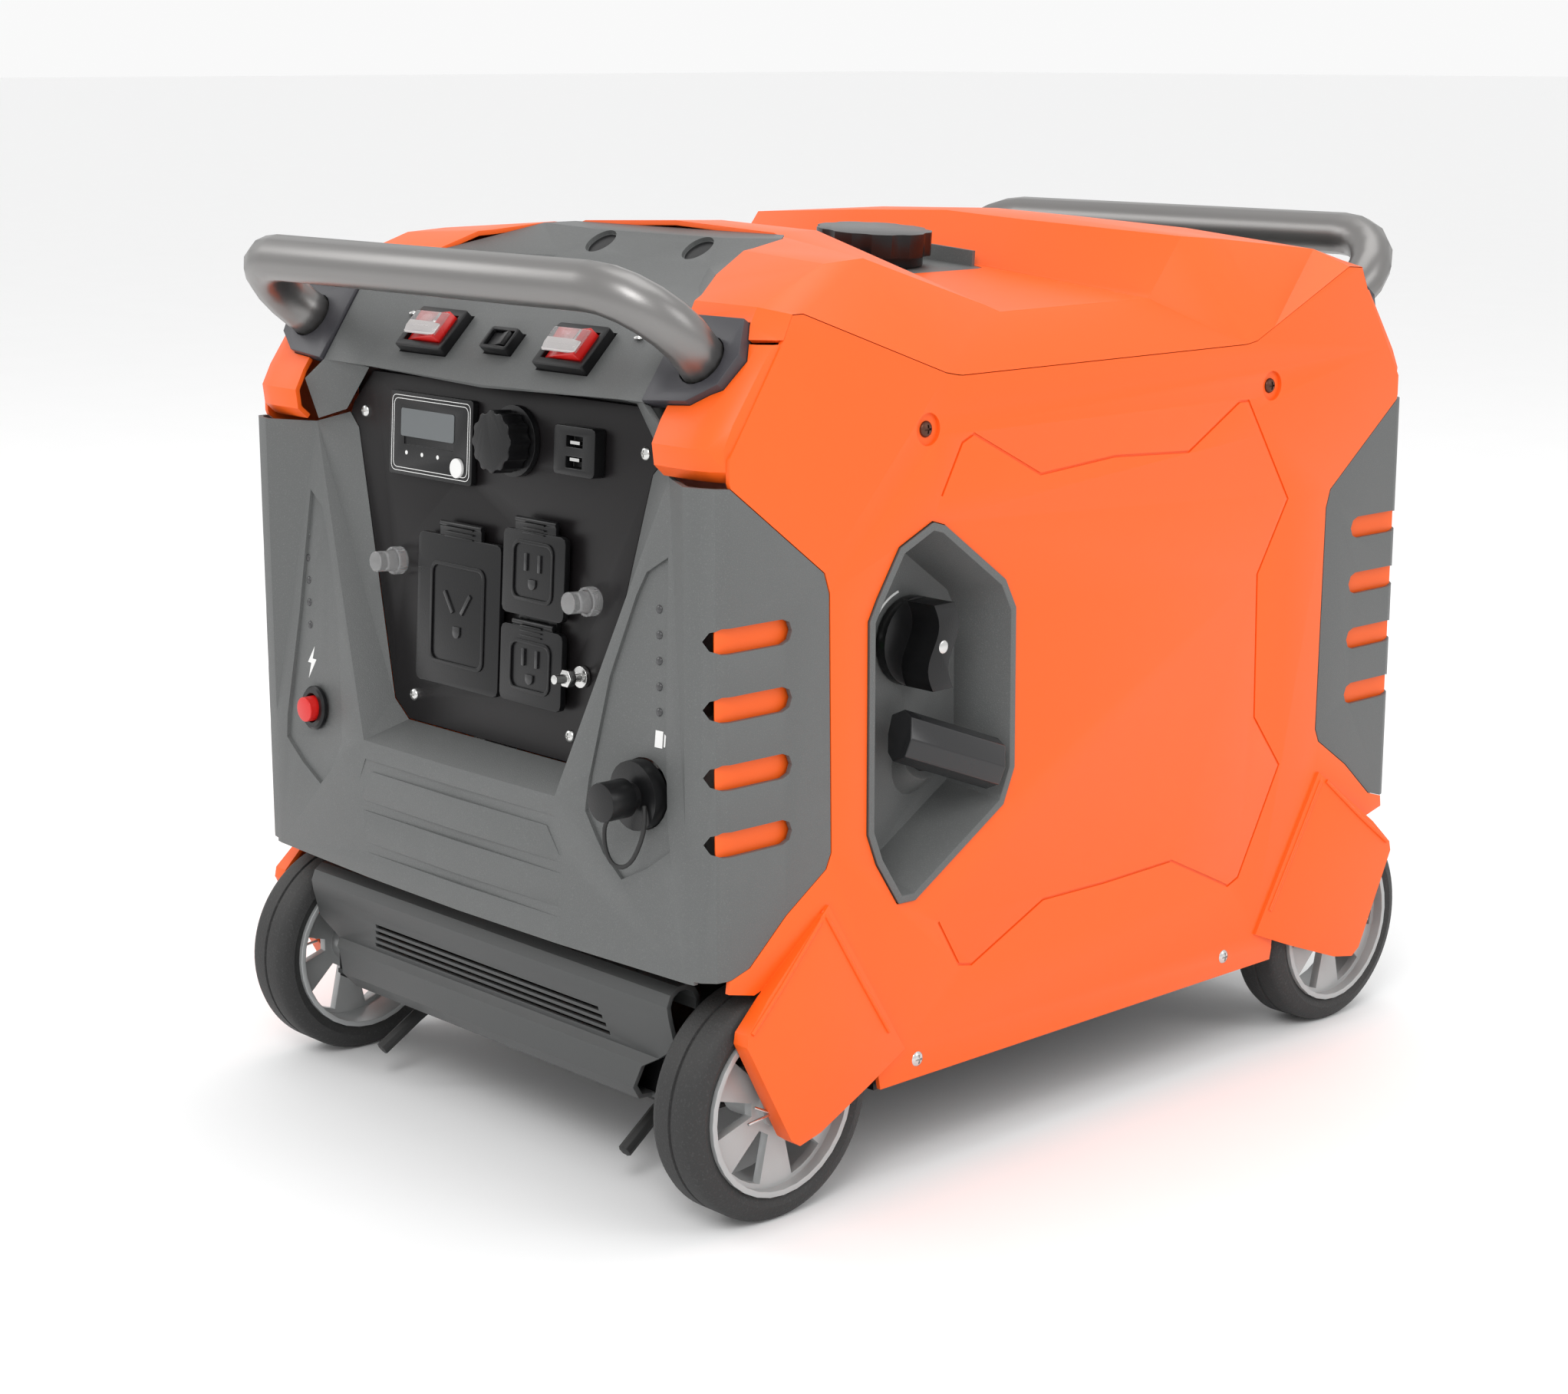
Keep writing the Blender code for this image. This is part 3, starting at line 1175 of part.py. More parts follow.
def make_gas_inlet():
    """Gas inlet flange and neck, its cap and the strap that holds the cap."""
    x, z = INLET_AT[0], place_z(INLET_AT[1])
    face = place_y(-0.3225)
    inlet = slab("gas_inlet", [circle((x, z), INLET_RADIUS, 24)], "Y", face, face + 0.009)
    join(inlet, slab("inlet_neck", [circle((x, z), 0.0080, 16)], "Y", face - 0.0120, face + 0.002))
    join(inlet, slab("inlet_body", [circle((x, z), 0.0120, 16)], "Y", face + 0.007, face + 0.030))
    cut(inlet, slab("inlet_bore", [circle((x, z), 0.0050, 12)], "Y", face - 0.02, face + 0.015))
    file_part(inlet, "black")
    cap_face = place_y(-0.3455)
    cap = slab("gas_cap", [circle((x, z), 0.0112, 20)], "Y", cap_face, cap_face + 0.0175)
    cut(cap, slab("cap_cavity", [circle((x, z), 0.0088, 16)], "Y", cap_face + 0.008,
                  cap_face + 0.03))
    file_part(cap, "black", origin=(x, cap_face, z))
    route = [(0.0125, -0.0030), (0.0130, -0.0180), (0.0060, -0.0340), (-0.0020, -0.0405),
             (-0.0100, -0.0390), (-0.0135, -0.0300), (-0.0120, -0.0190), (-0.0065, -0.0115)]
    path = smooth_path([(x + across, face - 0.0018 - 0.0100 * index / 7, z + drop)
                        for index, (across, drop) in enumerate(route)], 3)
    file_part(tube("cap_tether", path, 0.0013, 2), "black")


def smooth_path(points, between):
    """Points of a smooth curve through the given points."""
    line = [Vector(point) for point in points]
    path = []
    for index in range(len(line) - 1):
        before = line[max(index - 1, 0)]
        start, end = line[index], line[index + 1]
        after = line[min(index + 2, len(line) - 1)]
        for step in range(between):
            t = step / between
            path.append(0.5 * ((2 * start) + (end - before) * t
                               + (2 * before - 5 * start + 4 * end - after) * t * t
                               + (3 * start - before - 3 * end + after) * t * t * t))
    return path + [line[-1]]


def make_drain_hoses():
    """Fuel and crankcase drain hoses that hang under the front of the pan."""
    for name, side in (("drain_hose_left", -1), ("drain_hose_right", 1)):
        under = PAN_FLOOR - 0.0045 - GAP
        route = [(side * 0.118, -0.215, under), (side * 0.119, -0.240, under - 0.0020),
                 (side * 0.120, -0.262, under - 0.0085), (side * 0.1215, -0.280, under - 0.0195),
                 (side * 0.123, -0.297, under - 0.0305)]
        path = smooth_path([(x, place_y(y), z) for x, y, z in route], 2)
        file_part(tube(name, path, 0.0045, 2), "black")


# ---- Fuel system ---------------------------------------------------------------------------
FILLER_AT = (0.021, 0.005, 0.5235)


def tray_plan():
    """Outline of the filler tray seen from above."""
    return rectangle(-0.028, 0.070, -0.054, 0.062, 0.010)


def filler_axis():
    """Direction of the filler neck, tilted towards the +X side."""
    return Vector((sin(radians(FILLER_TILT)), 0, cos(radians(FILLER_TILT))))


def make_filler():
    """Filler tray, fuel tank with its neck, and the lobed fuel cap."""
    spot = Vector(place(FILLER_AT))
    axis = filler_axis()
    tilt = Matrix.Translation(spot) @ Matrix.Rotation(radians(FILLER_TILT), 4, "Y") \
        @ Matrix.Translation((-spot.x, -spot.y, 0))
    plan = tray_plan()
    tray = slab("filler_tray", [plan, circle((spot.x, spot.y), FILLER_RADIUS + 0.0012, 24)], "Z",
                -0.0025, 0.0)
    for index, (low, high) in enumerate(((-0.0535, -0.0510), (0.0590, 0.0615))):
        join(tray, box(f"tray_wall_{index}", (-0.0165, low, -0.0020), (0.0585, high, 0.010)))
    for item in [tray] + [m.object for m in tray.modifiers]:
        item.data.transform(tilt)
    file_part(tray, "grey")

    low, high = place_z(0.425), place_z(0.506)
    tank = slab("fuel_tank", [rectangle(-0.135, 0.150, -0.055, 0.145, 0.02)], "Z", low, high)
    join(tank, rod("tank_neck", spot - axis * 0.035, spot + axis * 0.0035, FILLER_RADIUS, 24))
    cut(tank, rod("neck_bore", spot - axis * 0.030, spot + axis * 0.02, FILLER_RADIUS - 0.003, 24))
    file_part(tank, "black")

    lobes = []
    for index in range(CAP_LOBES * 6):
        angle = index / (CAP_LOBES * 6) * 2 * pi
        radius = CAP_RADIUS - 0.0022 * (1 if index % 6 in (3, 4) else 0)
        lobes.append((radius * cos(angle), radius * sin(angle)))
    cap = slab("fuel_cap", [lobes], "Z", 0.0075, 0.0225)
    join(cap, slab("cap_skirt", [circle((0, 0), FILLER_RADIUS + 0.0065, 24)], "Z", 0.0008, 0.012))
    cut(cap, slab("cap_inside", [circle((0, 0), FILLER_RADIUS + 0.0012, 24)], "Z", -0.01, 0.0180))
    turn = Matrix.Rotation(radians(FILLER_TILT), 4, "Y")
    for item in [cap] + [m.object for m in cap.modifiers]:
        item.data.transform(Matrix.Translation(spot) @ turn)
    file_part(cap, "black", origin=spot)


# ---- Working parts inside ----------------------------------------------------------------
CRANK_AT = (-0.025, 0.175)


def make_engine():
    """Single cylinder engine: crankcase, finned barrel and its feet."""
    engine = box("engine", (-0.035, -0.105, 0.085), (0.105, 0.075, 0.250))
    barrel = box("engine_barrel", (0.000, -0.045, 0.245), (0.070, 0.025, 0.345))
    join(engine, barrel)
    for index in range(5):
        low = 0.258 + index * 0.017
        join(engine, box(f"engine_fin_{index}", (-0.014, -0.059, low), (0.084, 0.039, low + 0.005)))
    for index, (x, y) in enumerate(((-0.045, -0.095), (0.095, -0.095), (-0.045, 0.045),
                                    (0.095, 0.045))):
        foot_z = PAN_FLOOR + SHEET + GAP
        join(engine, box(f"engine_foot_{index}", (x - 0.004, y, foot_z), (x + 0.024, y + 0.025, 0.1)))
    y, z = CRANK_AT
    cut(engine, rod("engine_shaft_bore", (-0.06, y, z), (0.13, y, z), 0.0125, 16))
    file_part(engine, "cast")
    rotor = rod("rotor", (-0.120, y, z), (-0.050, y, z), 0.072, 28)
    join(rotor, rod("crankshaft", (-0.140, y, z), (0.1175, y, z), 0.0115, 16))
    for index in range(8):
        angle = index * pi / 4
        fin = box(f"rotor_vane_{index}", (-0.134, -0.002, 0.022), (-0.118, 0.002, 0.068))
        fin.data.transform(Matrix.Translation((0, y, z)) @ Matrix.Rotation(angle, 4, "X"))
        join(rotor, fin)
    file_part(rotor, "steel", origin=(0, y, z))
    reel = rod("starter_reel", (0.118, y, z), (0.122, y, z), 0.058, 24)
    join(reel, rod("reel_core", (0.118, y, z), (0.140, y, z), 0.050, 24))
    join(reel, rod("reel_flange", (0.136, y, z), (0.140, y, z), 0.058, 24))
    file_part(reel, "black", origin=(0.129, y, z))


def make_muffler():
    """Exhaust silencer with its tail pipe through the rear cover."""
    muffler = slab("muffler", [rectangle(-0.100, 0.110, place_z(0.150) - 0.02, place_z(0.265),
                                         0.03)], "Y", place_y(0.185), place_y(0.2868))
    tail_z = place_z(0.215)
    join(muffler, rod("tail_pipe", (0.060, place_y(0.28), tail_z), (0.060, place_y(0.324), tail_z),
                      0.017, 20))
    cut(muffler, rod("tail_bore", (0.060, place_y(0.29), tail_z), (0.060, place_y(0.34), tail_z),
                     0.0145, 20))
    file_part(muffler, "cast")


def make_electrics():
    """Inverter with its cooling fins, and the starter battery."""
    low, high = place_z(0.270), place_z(0.400)
    floor = PAN_FLOOR + SHEET + GAP
    inverter = box("inverter_module", (-0.105, place_y(-0.245), low),
                   (0.105, place_y(-0.205), high))
    for index in range(9):
        x = -0.100 + index * 0.0245
        join(inverter, box(f"inverter_fin_{index}", (x, place_y(-0.206), low),
                           (x + 0.004, place_y(-0.185), high)))
    for index, x in enumerate((-0.095, 0.083)):
        join(inverter, box(f"inverter_leg_{index}", (x, place_y(-0.238), floor),
                           (x + 0.012, place_y(-0.212), low + 0.002)))
    file_part(inverter, "cast")
    front, top = -PAN_MIDDLE_Y + 0.005, floor + 0.098
    battery = box("battery", (-0.200, front, floor), (-0.110, front + 0.060, top))
    for index, x in enumerate((-0.190, -0.130)):
        join(battery, box(f"battery_post_{index}", (x, front + 0.025, top - 0.005),
                          (x + 0.010, front + 0.035, top + 0.008)))
    file_part(battery, "black")


# ---- Assembly ----------------------------------------------------------------------------------
PANEL = make_frame("panel_face", place(PANEL_FOOT), PANEL_LEAN)
CONSOLE = make_frame("console_face", place(CONSOLE_FOOT), CONSOLE_LEAN)
FACES = {-1: handle_face(-1), 1: handle_face(1)}
bpy.context.view_layer.update()


def main():
    """Make every piece of the generator."""
    make_base_pan()
    make_skid()
    make_axles()
    make_wheels()
    make_front_fascia()
    make_rear_fascia()
    make_side_cover(1)
    make_side_cover(-1)
    make_top_cover()
    make_console_hood()
    make_starter_bezel()
    make_fuel_selector()
    make_starter_grip()
    for end, word in ((-1, "front"), (1, "rear")):
        make_handle(f"{word}_handle", end)
        make_handle_mount(f"{word}_handle_mount", end)
    make_control_panel()
    make_display()
    make_parallel_port()
    make_usb_socket()
    make_outlets()
    make_breakers()
    make_ground_terminal()
    make_switches()
    make_reset_button()
    make_gas_inlet()
    make_drain_hoses()
    make_filler()
    make_engine()
    make_muffler()
    make_electrics()


main()
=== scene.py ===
"""Looks of the portable generator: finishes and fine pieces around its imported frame."""
import json
from math import cos, pi, radians, sin

import bmesh
import bpy
from mathutils import Matrix, Vector
from mathutils.bvhtree import BVHTree


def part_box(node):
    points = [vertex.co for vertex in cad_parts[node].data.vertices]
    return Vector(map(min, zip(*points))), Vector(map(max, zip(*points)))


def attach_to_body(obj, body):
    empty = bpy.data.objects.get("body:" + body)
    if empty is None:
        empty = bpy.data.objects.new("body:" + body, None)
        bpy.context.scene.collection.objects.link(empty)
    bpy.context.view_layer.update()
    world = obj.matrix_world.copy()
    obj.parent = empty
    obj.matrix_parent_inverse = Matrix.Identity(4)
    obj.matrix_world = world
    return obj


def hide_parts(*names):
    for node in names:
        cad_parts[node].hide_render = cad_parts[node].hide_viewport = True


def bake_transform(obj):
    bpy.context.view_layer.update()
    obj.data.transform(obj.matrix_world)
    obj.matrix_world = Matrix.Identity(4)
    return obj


bl_info = {
    "name": "Portable Generator",
    "version": (1, 0, 0),
    "blender": (4, 5, 0),
    "location": "View3D > Sidebar > Generator",
    "description": "Builds the finishes and fine pieces of a wheeled inverter generator",
    "category": "Object",
}

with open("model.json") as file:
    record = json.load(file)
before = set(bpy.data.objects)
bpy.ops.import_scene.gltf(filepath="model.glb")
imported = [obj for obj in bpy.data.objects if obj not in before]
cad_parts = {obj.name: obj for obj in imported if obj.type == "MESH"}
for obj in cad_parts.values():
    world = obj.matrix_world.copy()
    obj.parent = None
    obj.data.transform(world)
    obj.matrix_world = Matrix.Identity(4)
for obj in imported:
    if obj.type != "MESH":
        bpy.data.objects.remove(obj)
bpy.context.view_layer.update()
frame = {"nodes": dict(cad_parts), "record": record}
NODES = frame["nodes"]
BODY_OF = {node: body for body, members in frame["record"]["behaviour"]["bodies"].items()
           for node in members}
BASE = "frame"

# Frames of the panel and console faces: -Y points out of each face and Z up along it.
PANEL_FACE = Matrix.Translation((0, -0.2972, 0.250)) @ Matrix.Rotation(radians(-3.6), 4, "X")
CONSOLE_FACE = Matrix.Translation((0, -0.2954, 0.4697)) @ Matrix.Rotation(radians(-45), 4, "X")
PANEL_RISE = cos(radians(3.6))
# The right column's face: a leaning upper plane and an upright lower one, each by a point
# and its outward direction.
UPPER = (Vector((0.202, -0.3163, 0.239)), Vector((0.0603, -0.9929, 0.1027)))
LOWER = (Vector((0.150, -0.3192, 0.200)), Vector((0.0605, -0.9981, -0.0065)))
MERGE = 0.00001
FLAT_ANGLE = 0.3
LINE = 0.0004
INK_BACK = 0.0002
INK_FRONT = 0.00015


# ---- Properties ------------------------------------------------------------------------
class GeneratorSizes(bpy.types.PropertyGroup):
    """Sizes of the fine details."""

    cover_round: bpy.props.FloatProperty(
        name="Cover Edge Round", description="Rounding of the moulded covers' edges",
        default=0.0022, unit="LENGTH")
    small_round: bpy.props.FloatProperty(
        name="Fitting Edge Round", description="Rounding of the small fittings' edges",
        default=0.0006, unit="LENGTH")
    pocket_depth: bpy.props.FloatProperty(
        name="Pocket Depth", description="Depth of the recesses in the front cover",
        default=0.0024, unit="LENGTH")
    groove_width: bpy.props.FloatProperty(
        name="Groove Width", description="Width of the decorative groove on the sides",
        default=0.0016, unit="LENGTH")
    round_steps: bpy.props.IntProperty(
        name="Round Steps", description="Steps round the wheels", default=96)
    floor_reach: bpy.props.FloatProperty(
        name="Floor Reach", description="Half length of the studio floor", default=60.0,
        unit="LENGTH")


class GeneratorColours(bpy.types.PropertyGroup):
    """Colours of the finishes, linear."""

    orange: bpy.props.FloatVectorProperty(
        name="Orange", description="Moulded side and roof covers", subtype="COLOR",
        default=(0.87, 0.112, 0.008))
    grey: bpy.props.FloatVectorProperty(
        name="Grey", description="Moulded end covers", subtype="COLOR",
        default=(0.098, 0.102, 0.101))
    slate: bpy.props.FloatVectorProperty(
        name="Slate", description="Handle foot plates", subtype="COLOR",
        default=(0.040, 0.039, 0.046))
    black: bpy.props.FloatVectorProperty(
        name="Black", description="Fittings and grips", subtype="COLOR",
        default=(0.0055, 0.0055, 0.006))
    tube: bpy.props.FloatVectorProperty(
        name="Handle Tube", description="Metallic coat of the lifting handles", subtype="COLOR",
        default=(0.22, 0.215, 0.21))
    tyre: bpy.props.FloatVectorProperty(
        name="Tyre", description="Rubber of the tyres", subtype="COLOR",
        default=(0.022, 0.022, 0.022))
    rim: bpy.props.FloatVectorProperty(
        name="Rim", description="Moulded rims", subtype="COLOR", default=(0.40, 0.41, 0.41))
    paper: bpy.props.FloatVectorProperty(
        name="Marking", description="Printed symbols and lines", subtype="COLOR",
        default=(0.75, 0.75, 0.74))


def sizes():
    """The size settings of the scene."""
    return bpy.context.scene.generator_sizes


def colours():
    """The colour settings of the scene."""
    return bpy.context.scene.generator_colours


# ---- Shared effects --------------------------------------------------------------------
def effect(name, inputs, outputs):
    """An empty shader node group with named sockets."""
    tree = bpy.data.node_groups.new(name, "ShaderNodeTree")
    for label, kind, value in inputs:
        socket = tree.interface.new_socket(label, in_out="INPUT", socket_type=kind)
        if value is not None:
            socket.default_value = value
    for label, kind in outputs:
        tree.interface.new_socket(label, in_out="OUTPUT", socket_type=kind)
    start = tree.nodes.new("NodeGroupInput")
    end = tree.nodes.new("NodeGroupOutput")
    return tree, start, end


def moulded_grain():
    """Fine spark-eroded grain: a normal and a slow change of tone."""
    if "moulded grain" in bpy.data.node_groups:
        return bpy.data.node_groups["moulded grain"]
    tree, start, end = effect(
        "moulded grain",
        (("Scale", "NodeSocketFloat", 900.0), ("Depth", "NodeSocketFloat", 0.2),
         ("Distance", "NodeSocketFloat", 0.0004)),
        (("Normal", "NodeSocketVector"), ("Tone", "NodeSocketFloat"),
         ("Speckle", "NodeSocketFloat")))
    place = tree.nodes.new("ShaderNodeTexCoord")
    fine = tree.nodes.new("ShaderNodeTexNoise")
    fine.inputs["Detail"].default_value = 3.0
    slow = tree.nodes.new("ShaderNodeTexNoise")
    slow.inputs["Scale"].default_value = 7.0
    slow.inputs["Detail"].default_value = 4.0
    bump = tree.nodes.new("ShaderNodeBump")
    tree.links.new(place.outputs["Object"], fine.inputs["Vector"])
    tree.links.new(place.outputs["Object"], slow.inputs["Vector"])
    tree.links.new(start.outputs["Scale"], fine.inputs["Scale"])
    tree.links.new(start.outputs["Depth"], bump.inputs["Strength"])
    tree.links.new(start.outputs["Distance"], bump.inputs["Distance"])
    tree.links.new(fine.outputs["Fac"], bump.inputs["Height"])
    tree.links.new(bump.outputs["Normal"], end.inputs["Normal"])
    tree.links.new(slow.outputs["Fac"], end.inputs["Tone"])
    tree.links.new(fine.outputs["Fac"], end.inputs["Speckle"])
    return tree


def patchy_mask(tree, start, end, mask, scale, detail):
    """Break a mask up by noise, scale it by Amount and put it out."""
    noise = tree.nodes.new("ShaderNodeTexNoise")
    noise.inputs["Scale"].default_value = scale
    noise.inputs["Detail"].default_value = detail
    place = tree.nodes.new("ShaderNodeTexCoord")
    tree.links.new(place.outputs["Object"], noise.inputs["Vector"])
    for factor in (noise.outputs["Fac"], start.outputs["Amount"]):
        product = tree.nodes.new("ShaderNodeMath")
        product.operation = "MULTIPLY"
        tree.links.new(mask, product.inputs[0])
        tree.links.new(factor, product.inputs[1])
        mask = product.outputs["Value"]
    tree.links.new(mask, end.inputs["Mask"])


def edge_rub():
    """Mask of the outward edges, broken up by noise."""
    if "edge rub" in bpy.data.node_groups:
        return bpy.data.node_groups["edge rub"]
    tree, start, end = effect(
        "edge rub", (("Amount", "NodeSocketFloat", 0.3),), (("Mask", "NodeSocketFloat"),))
    geometry = tree.nodes.new("ShaderNodeNewGeometry")
    narrow = tree.nodes.new("ShaderNodeMapRange")
    narrow.inputs["From Min"].default_value = 0.53
    narrow.inputs["From Max"].default_value = 0.64
    tree.links.new(geometry.outputs["Pointiness"], narrow.inputs["Value"])
    patchy_mask(tree, start, end, narrow.outputs["Result"], 60.0, 2.0)
    return tree


def settled_dust():
    """Mask of the faces that look up, patchy."""
    if "settled dust" in bpy.data.node_groups:
        return bpy.data.node_groups["settled dust"]
    tree, start, end = effect(
        "settled dust", (("Amount", "NodeSocketFloat", 0.1),), (("Mask", "NodeSocketFloat"),))
    geometry = tree.nodes.new("ShaderNodeNewGeometry")
    split = tree.nodes.new("ShaderNodeSeparateXYZ")
    upward = tree.nodes.new("ShaderNodeMapRange")
    upward.inputs["From Min"].default_value = 0.3
    tree.links.new(geometry.outputs["Normal"], split.inputs["Vector"])
    tree.links.new(split.outputs["Z"], upward.inputs["Value"])
    patchy_mask(tree, start, end, upward.outputs["Result"], 25.0, 5.0)
    return tree


def place_effect(tree, group, **values):
    """A node that uses a shared effect with its own values."""
    node = tree.nodes.new("ShaderNodeGroup")
    node.node_tree = group
    for label, value in values.items():
        node.inputs[label].default_value = value
    return node


def mix_colour(tree, factor, first, second):
    """A colour mix; first and second are colours or sockets, factor a socket."""
    node = tree.nodes.new("ShaderNodeMix")
    node.data_type = "RGBA"
    tree.links.new(factor, node.inputs[0])
    for socket, value in ((node.inputs[6], first), (node.inputs[7], second)):
        if isinstance(value, bpy.types.NodeSocket):
            tree.links.new(value, socket)
        else:
            socket.default_value = (*value, 1.0)
    return node.outputs[2]


def finish(name, colour, roughness, metallic=0.0, scale=900.0, depth=0.2, distance=0.0004,
           tone=0.06, rub=0.15, dust=0.05, speckle=0.0, coat=0.0, spread=0.08, gloss=0.5):
    """A Principled material with grain, tone, rubbed edges and a little dust."""
    if name in bpy.data.materials:
        return bpy.data.materials[name]
    material = bpy.data.materials.new(name)
    material.use_nodes = True
    tree = material.node_tree
    shader = tree.nodes["Principled BSDF"]
    shader.inputs["Metallic"].default_value = metallic
    shader.inputs["Coat Weight"].default_value = coat
    shader.inputs["Specular IOR Level"].default_value = gloss
    shader.inputs["Coat Roughness"].default_value = 0.25
    grain = place_effect(tree, moulded_grain(), Scale=scale, Depth=depth, Distance=distance)
    edges = place_effect(tree, edge_rub(), Amount=rub)
    film = place_effect(tree, settled_dust(), Amount=dust)
    colour = tuple(colour)
    dark = tuple(channel * (1 - tone) for channel in colour)
    light = tuple(min(1.0, channel * (1 + tone)) for channel in colour)
    base = mix_colour(tree, grain.outputs["Tone"], dark, light)
    if speckle:
        pepper = tree.nodes.new("ShaderNodeMapRange")
        pepper.inputs["From Min"].default_value = 0.55
        pepper.inputs["From Max"].default_value = 0.75
        pepper.inputs["To Max"].default_value = speckle
        tree.links.new(grain.outputs["Speckle"], pepper.inputs["Value"])
        base = mix_colour(tree, pepper.outputs["Result"], base,
                          tuple(min(1.0, channel * 2.2 + 0.03) for channel in colour))
    worn = tuple(min(1.0, channel * 1.5 + 0.006) for channel in colour)
    base = mix_colour(tree, edges.outputs["Mask"], base, worn)
    base = mix_colour(tree, film.outputs["Mask"], base, (0.42, 0.40, 0.37))
    tree.links.new(base, shader.inputs["Base Color"])
    rough = tree.nodes.new("ShaderNodeMapRange")
    rough.inputs["To Min"].default_value = max(0.02, roughness - spread)
    rough.inputs["To Max"].default_value = min(1.0, roughness + spread)
    tree.links.new(grain.outputs["Tone"], rough.inputs["Value"])
    tree.links.new(rough.outputs["Result"], shader.inputs["Roughness"])
    tree.links.new(grain.outputs["Normal"], shader.inputs["Normal"])
    return material


def clear_plastic():
    """Clear moulded plastic of the rocker covers and breaker caps."""
    name = "clear plastic"
    if name in bpy.data.materials:
        return bpy.data.materials[name]
    material = finish(name, (0.93, 0.93, 0.93), 0.12, scale=300.0, depth=0.05, tone=0.02,
                      rub=0.0, dust=0.0, spread=0.04)
    shader = material.node_tree.nodes["Principled BSDF"]
    shader.inputs["Transmission Weight"].default_value = 0.85
    shader.inputs["IOR"].default_value = 1.35
    return material


def orange_plastic():
    """Smooth satin orange of the covers."""
    return finish("orange cover", colours().orange, 0.44, scale=1400.0, depth=0.06, tone=0.03,
                  rub=0.10, dust=0.0, coat=0.04, gloss=0.35)


def grey_plastic():
    """Fine-grained grey of the end covers."""
    return finish("grey cover", colours().grey, 0.50, scale=1500.0, depth=0.35, tone=0.04,
                  rub=0.22, dust=0.03, speckle=0.30, distance=0.0005)


def black_plastic():
    """Satin black of the fittings."""
    return finish("black fitting", colours().black, 0.30, scale=1100.0, depth=0.14, tone=0.10,
                  rub=0.25, dust=0.0, gloss=0.32)


def glossy_black():
    """Polished black of the pull grip and the outlet patterns."""
    return finish("glossy black", (0.016, 0.016, 0.017), 0.16, scale=800.0, depth=0.04,
                  rub=0.2, dust=0.0)


def slate_plastic():
    """Dark slate of the handle foot plates."""
    return finish("slate plate", colours().slate, 0.42, scale=1200.0, depth=0.15, rub=0.15,
                  dust=0.02)


def bright_steel():
    """Plated steel of screws, studs and pins."""
    return finish("plated steel", (0.62, 0.62, 0.61), 0.22, metallic=1.0, scale=600.0,
                  depth=0.08, rub=0.05, dust=0.0)


def marking():
    """Pale printed ink."""
    return finish("printed ink", colours().paper, 0.5, scale=800.0, depth=0.03, tone=0.02,
                  rub=0.0, dust=0.0)


def red_plastic():
    """Bright red of the rockers and the reset button."""
    return finish("red button", (0.62, 0.012, 0.010), 0.28, scale=700.0, depth=0.05, rub=0.05,
                  dust=0.0)


def rubber():
    """Matte rubber of hoses and straps."""
    return finish("black rubber", (0.014, 0.014, 0.014), 0.6, scale=900.0, depth=0.2, rub=0.1,
                  dust=0.05)


def cast_metal():
    """Bare cast aluminium inside the covers."""
    return finish("cast alloy", (0.38, 0.38, 0.37), 0.5, metallic=0.9, scale=500.0, depth=0.3,
                  rub=0.2, dust=0.1)


# ---- Making pieces ---------------------------------------------------------------------
def new_piece(name, mesh):
    """A mesh object linked to the scene."""
    item = bpy.data.objects.new(name, mesh)
    bpy.context.scene.collection.objects.link(item)
    return item


def bake(item):
    """Apply an object's modifiers and place into its mesh."""
    bpy.context.view_layer.update()
    graph = bpy.context.evaluated_depsgraph_get()
    mesh = bpy.data.meshes.new_from_object(item.evaluated_get(graph))
    mesh.transform(item.matrix_world)
    name = item.name
    bpy.data.objects.remove(item, do_unlink=True)
    return new_piece(name, mesh)


def shade(item, angle=32.0):
    """Smooth shading with sharp edges above an angle."""
    item.data.shade_smooth()
    item.data.set_sharp_from_angle(angle=radians(angle))
    return item


def soften(item, width, segments=3, angle=28.0):
    """Round the edges of a piece and shade it smooth."""
    weld = item.modifiers.new("weld", "WELD")
    weld.merge_threshold = MERGE
    flat = item.modifiers.new("flats", "DECIMATE")
    flat.decimate_type = "DISSOLVE"
    flat.angle_limit = radians(0.6)
    bevel = item.modifiers.new("round", "BEVEL")
    bevel.width = width
    bevel.segments = segments
    bevel.limit_method = "ANGLE"
    bevel.angle_limit = radians(angle)
    bevel.use_clamp_overlap = True
    bevel.harden_normals = False
    item = bake(item)
    return shade(item, 40.0)


def attach(item, material, body=BASE, replaced=()):
    """Give a piece its finish and body, and hide the frame nodes it stands for."""
    item.data.materials.clear()
    item.data.materials.append(material)
    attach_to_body(item, body)
    if replaced:
        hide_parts(*replaced)
    return item


def slab(name, outlines, axis, low, high, face=None):
    """Outlines in the two other axes, extruded along an axis, then placed on a face."""
    turns = {"X": Matrix(((0, 0, 1), (1, 0, 0), (0, 1, 0))).to_4x4(),
             "Y": Matrix(((1, 0, 0), (0, 0, -1), (0, 1, 0))).to_4x4(),
             "Z": Matrix.Identity(4)}
    curve = bpy.data.curves.new(name, "CURVE")
    curve.dimensions = "2D"
    curve.fill_mode = "BOTH"
    curve.extrude = abs(high - low) / 2
    for outline in outlines:
        spline = curve.splines.new("POLY")
        spline.points.add(len(outline) - 1)
        for point, (across, up) in zip(spline.points, outline):
            point.co = (across, up, 0, 1)
        spline.use_cyclic_u = True
    holder = bpy.data.objects.new(name, curve)
    bpy.context.scene.collection.objects.link(holder)
    middle = (low + high) / 2
    shift = Matrix.Translation((0, 0, -middle if axis == "Y" else middle))
    holder.matrix_world = (face or Matrix.Identity(4)) @ turns[axis] @ shift
    return weld(bake(holder), flatten=True)


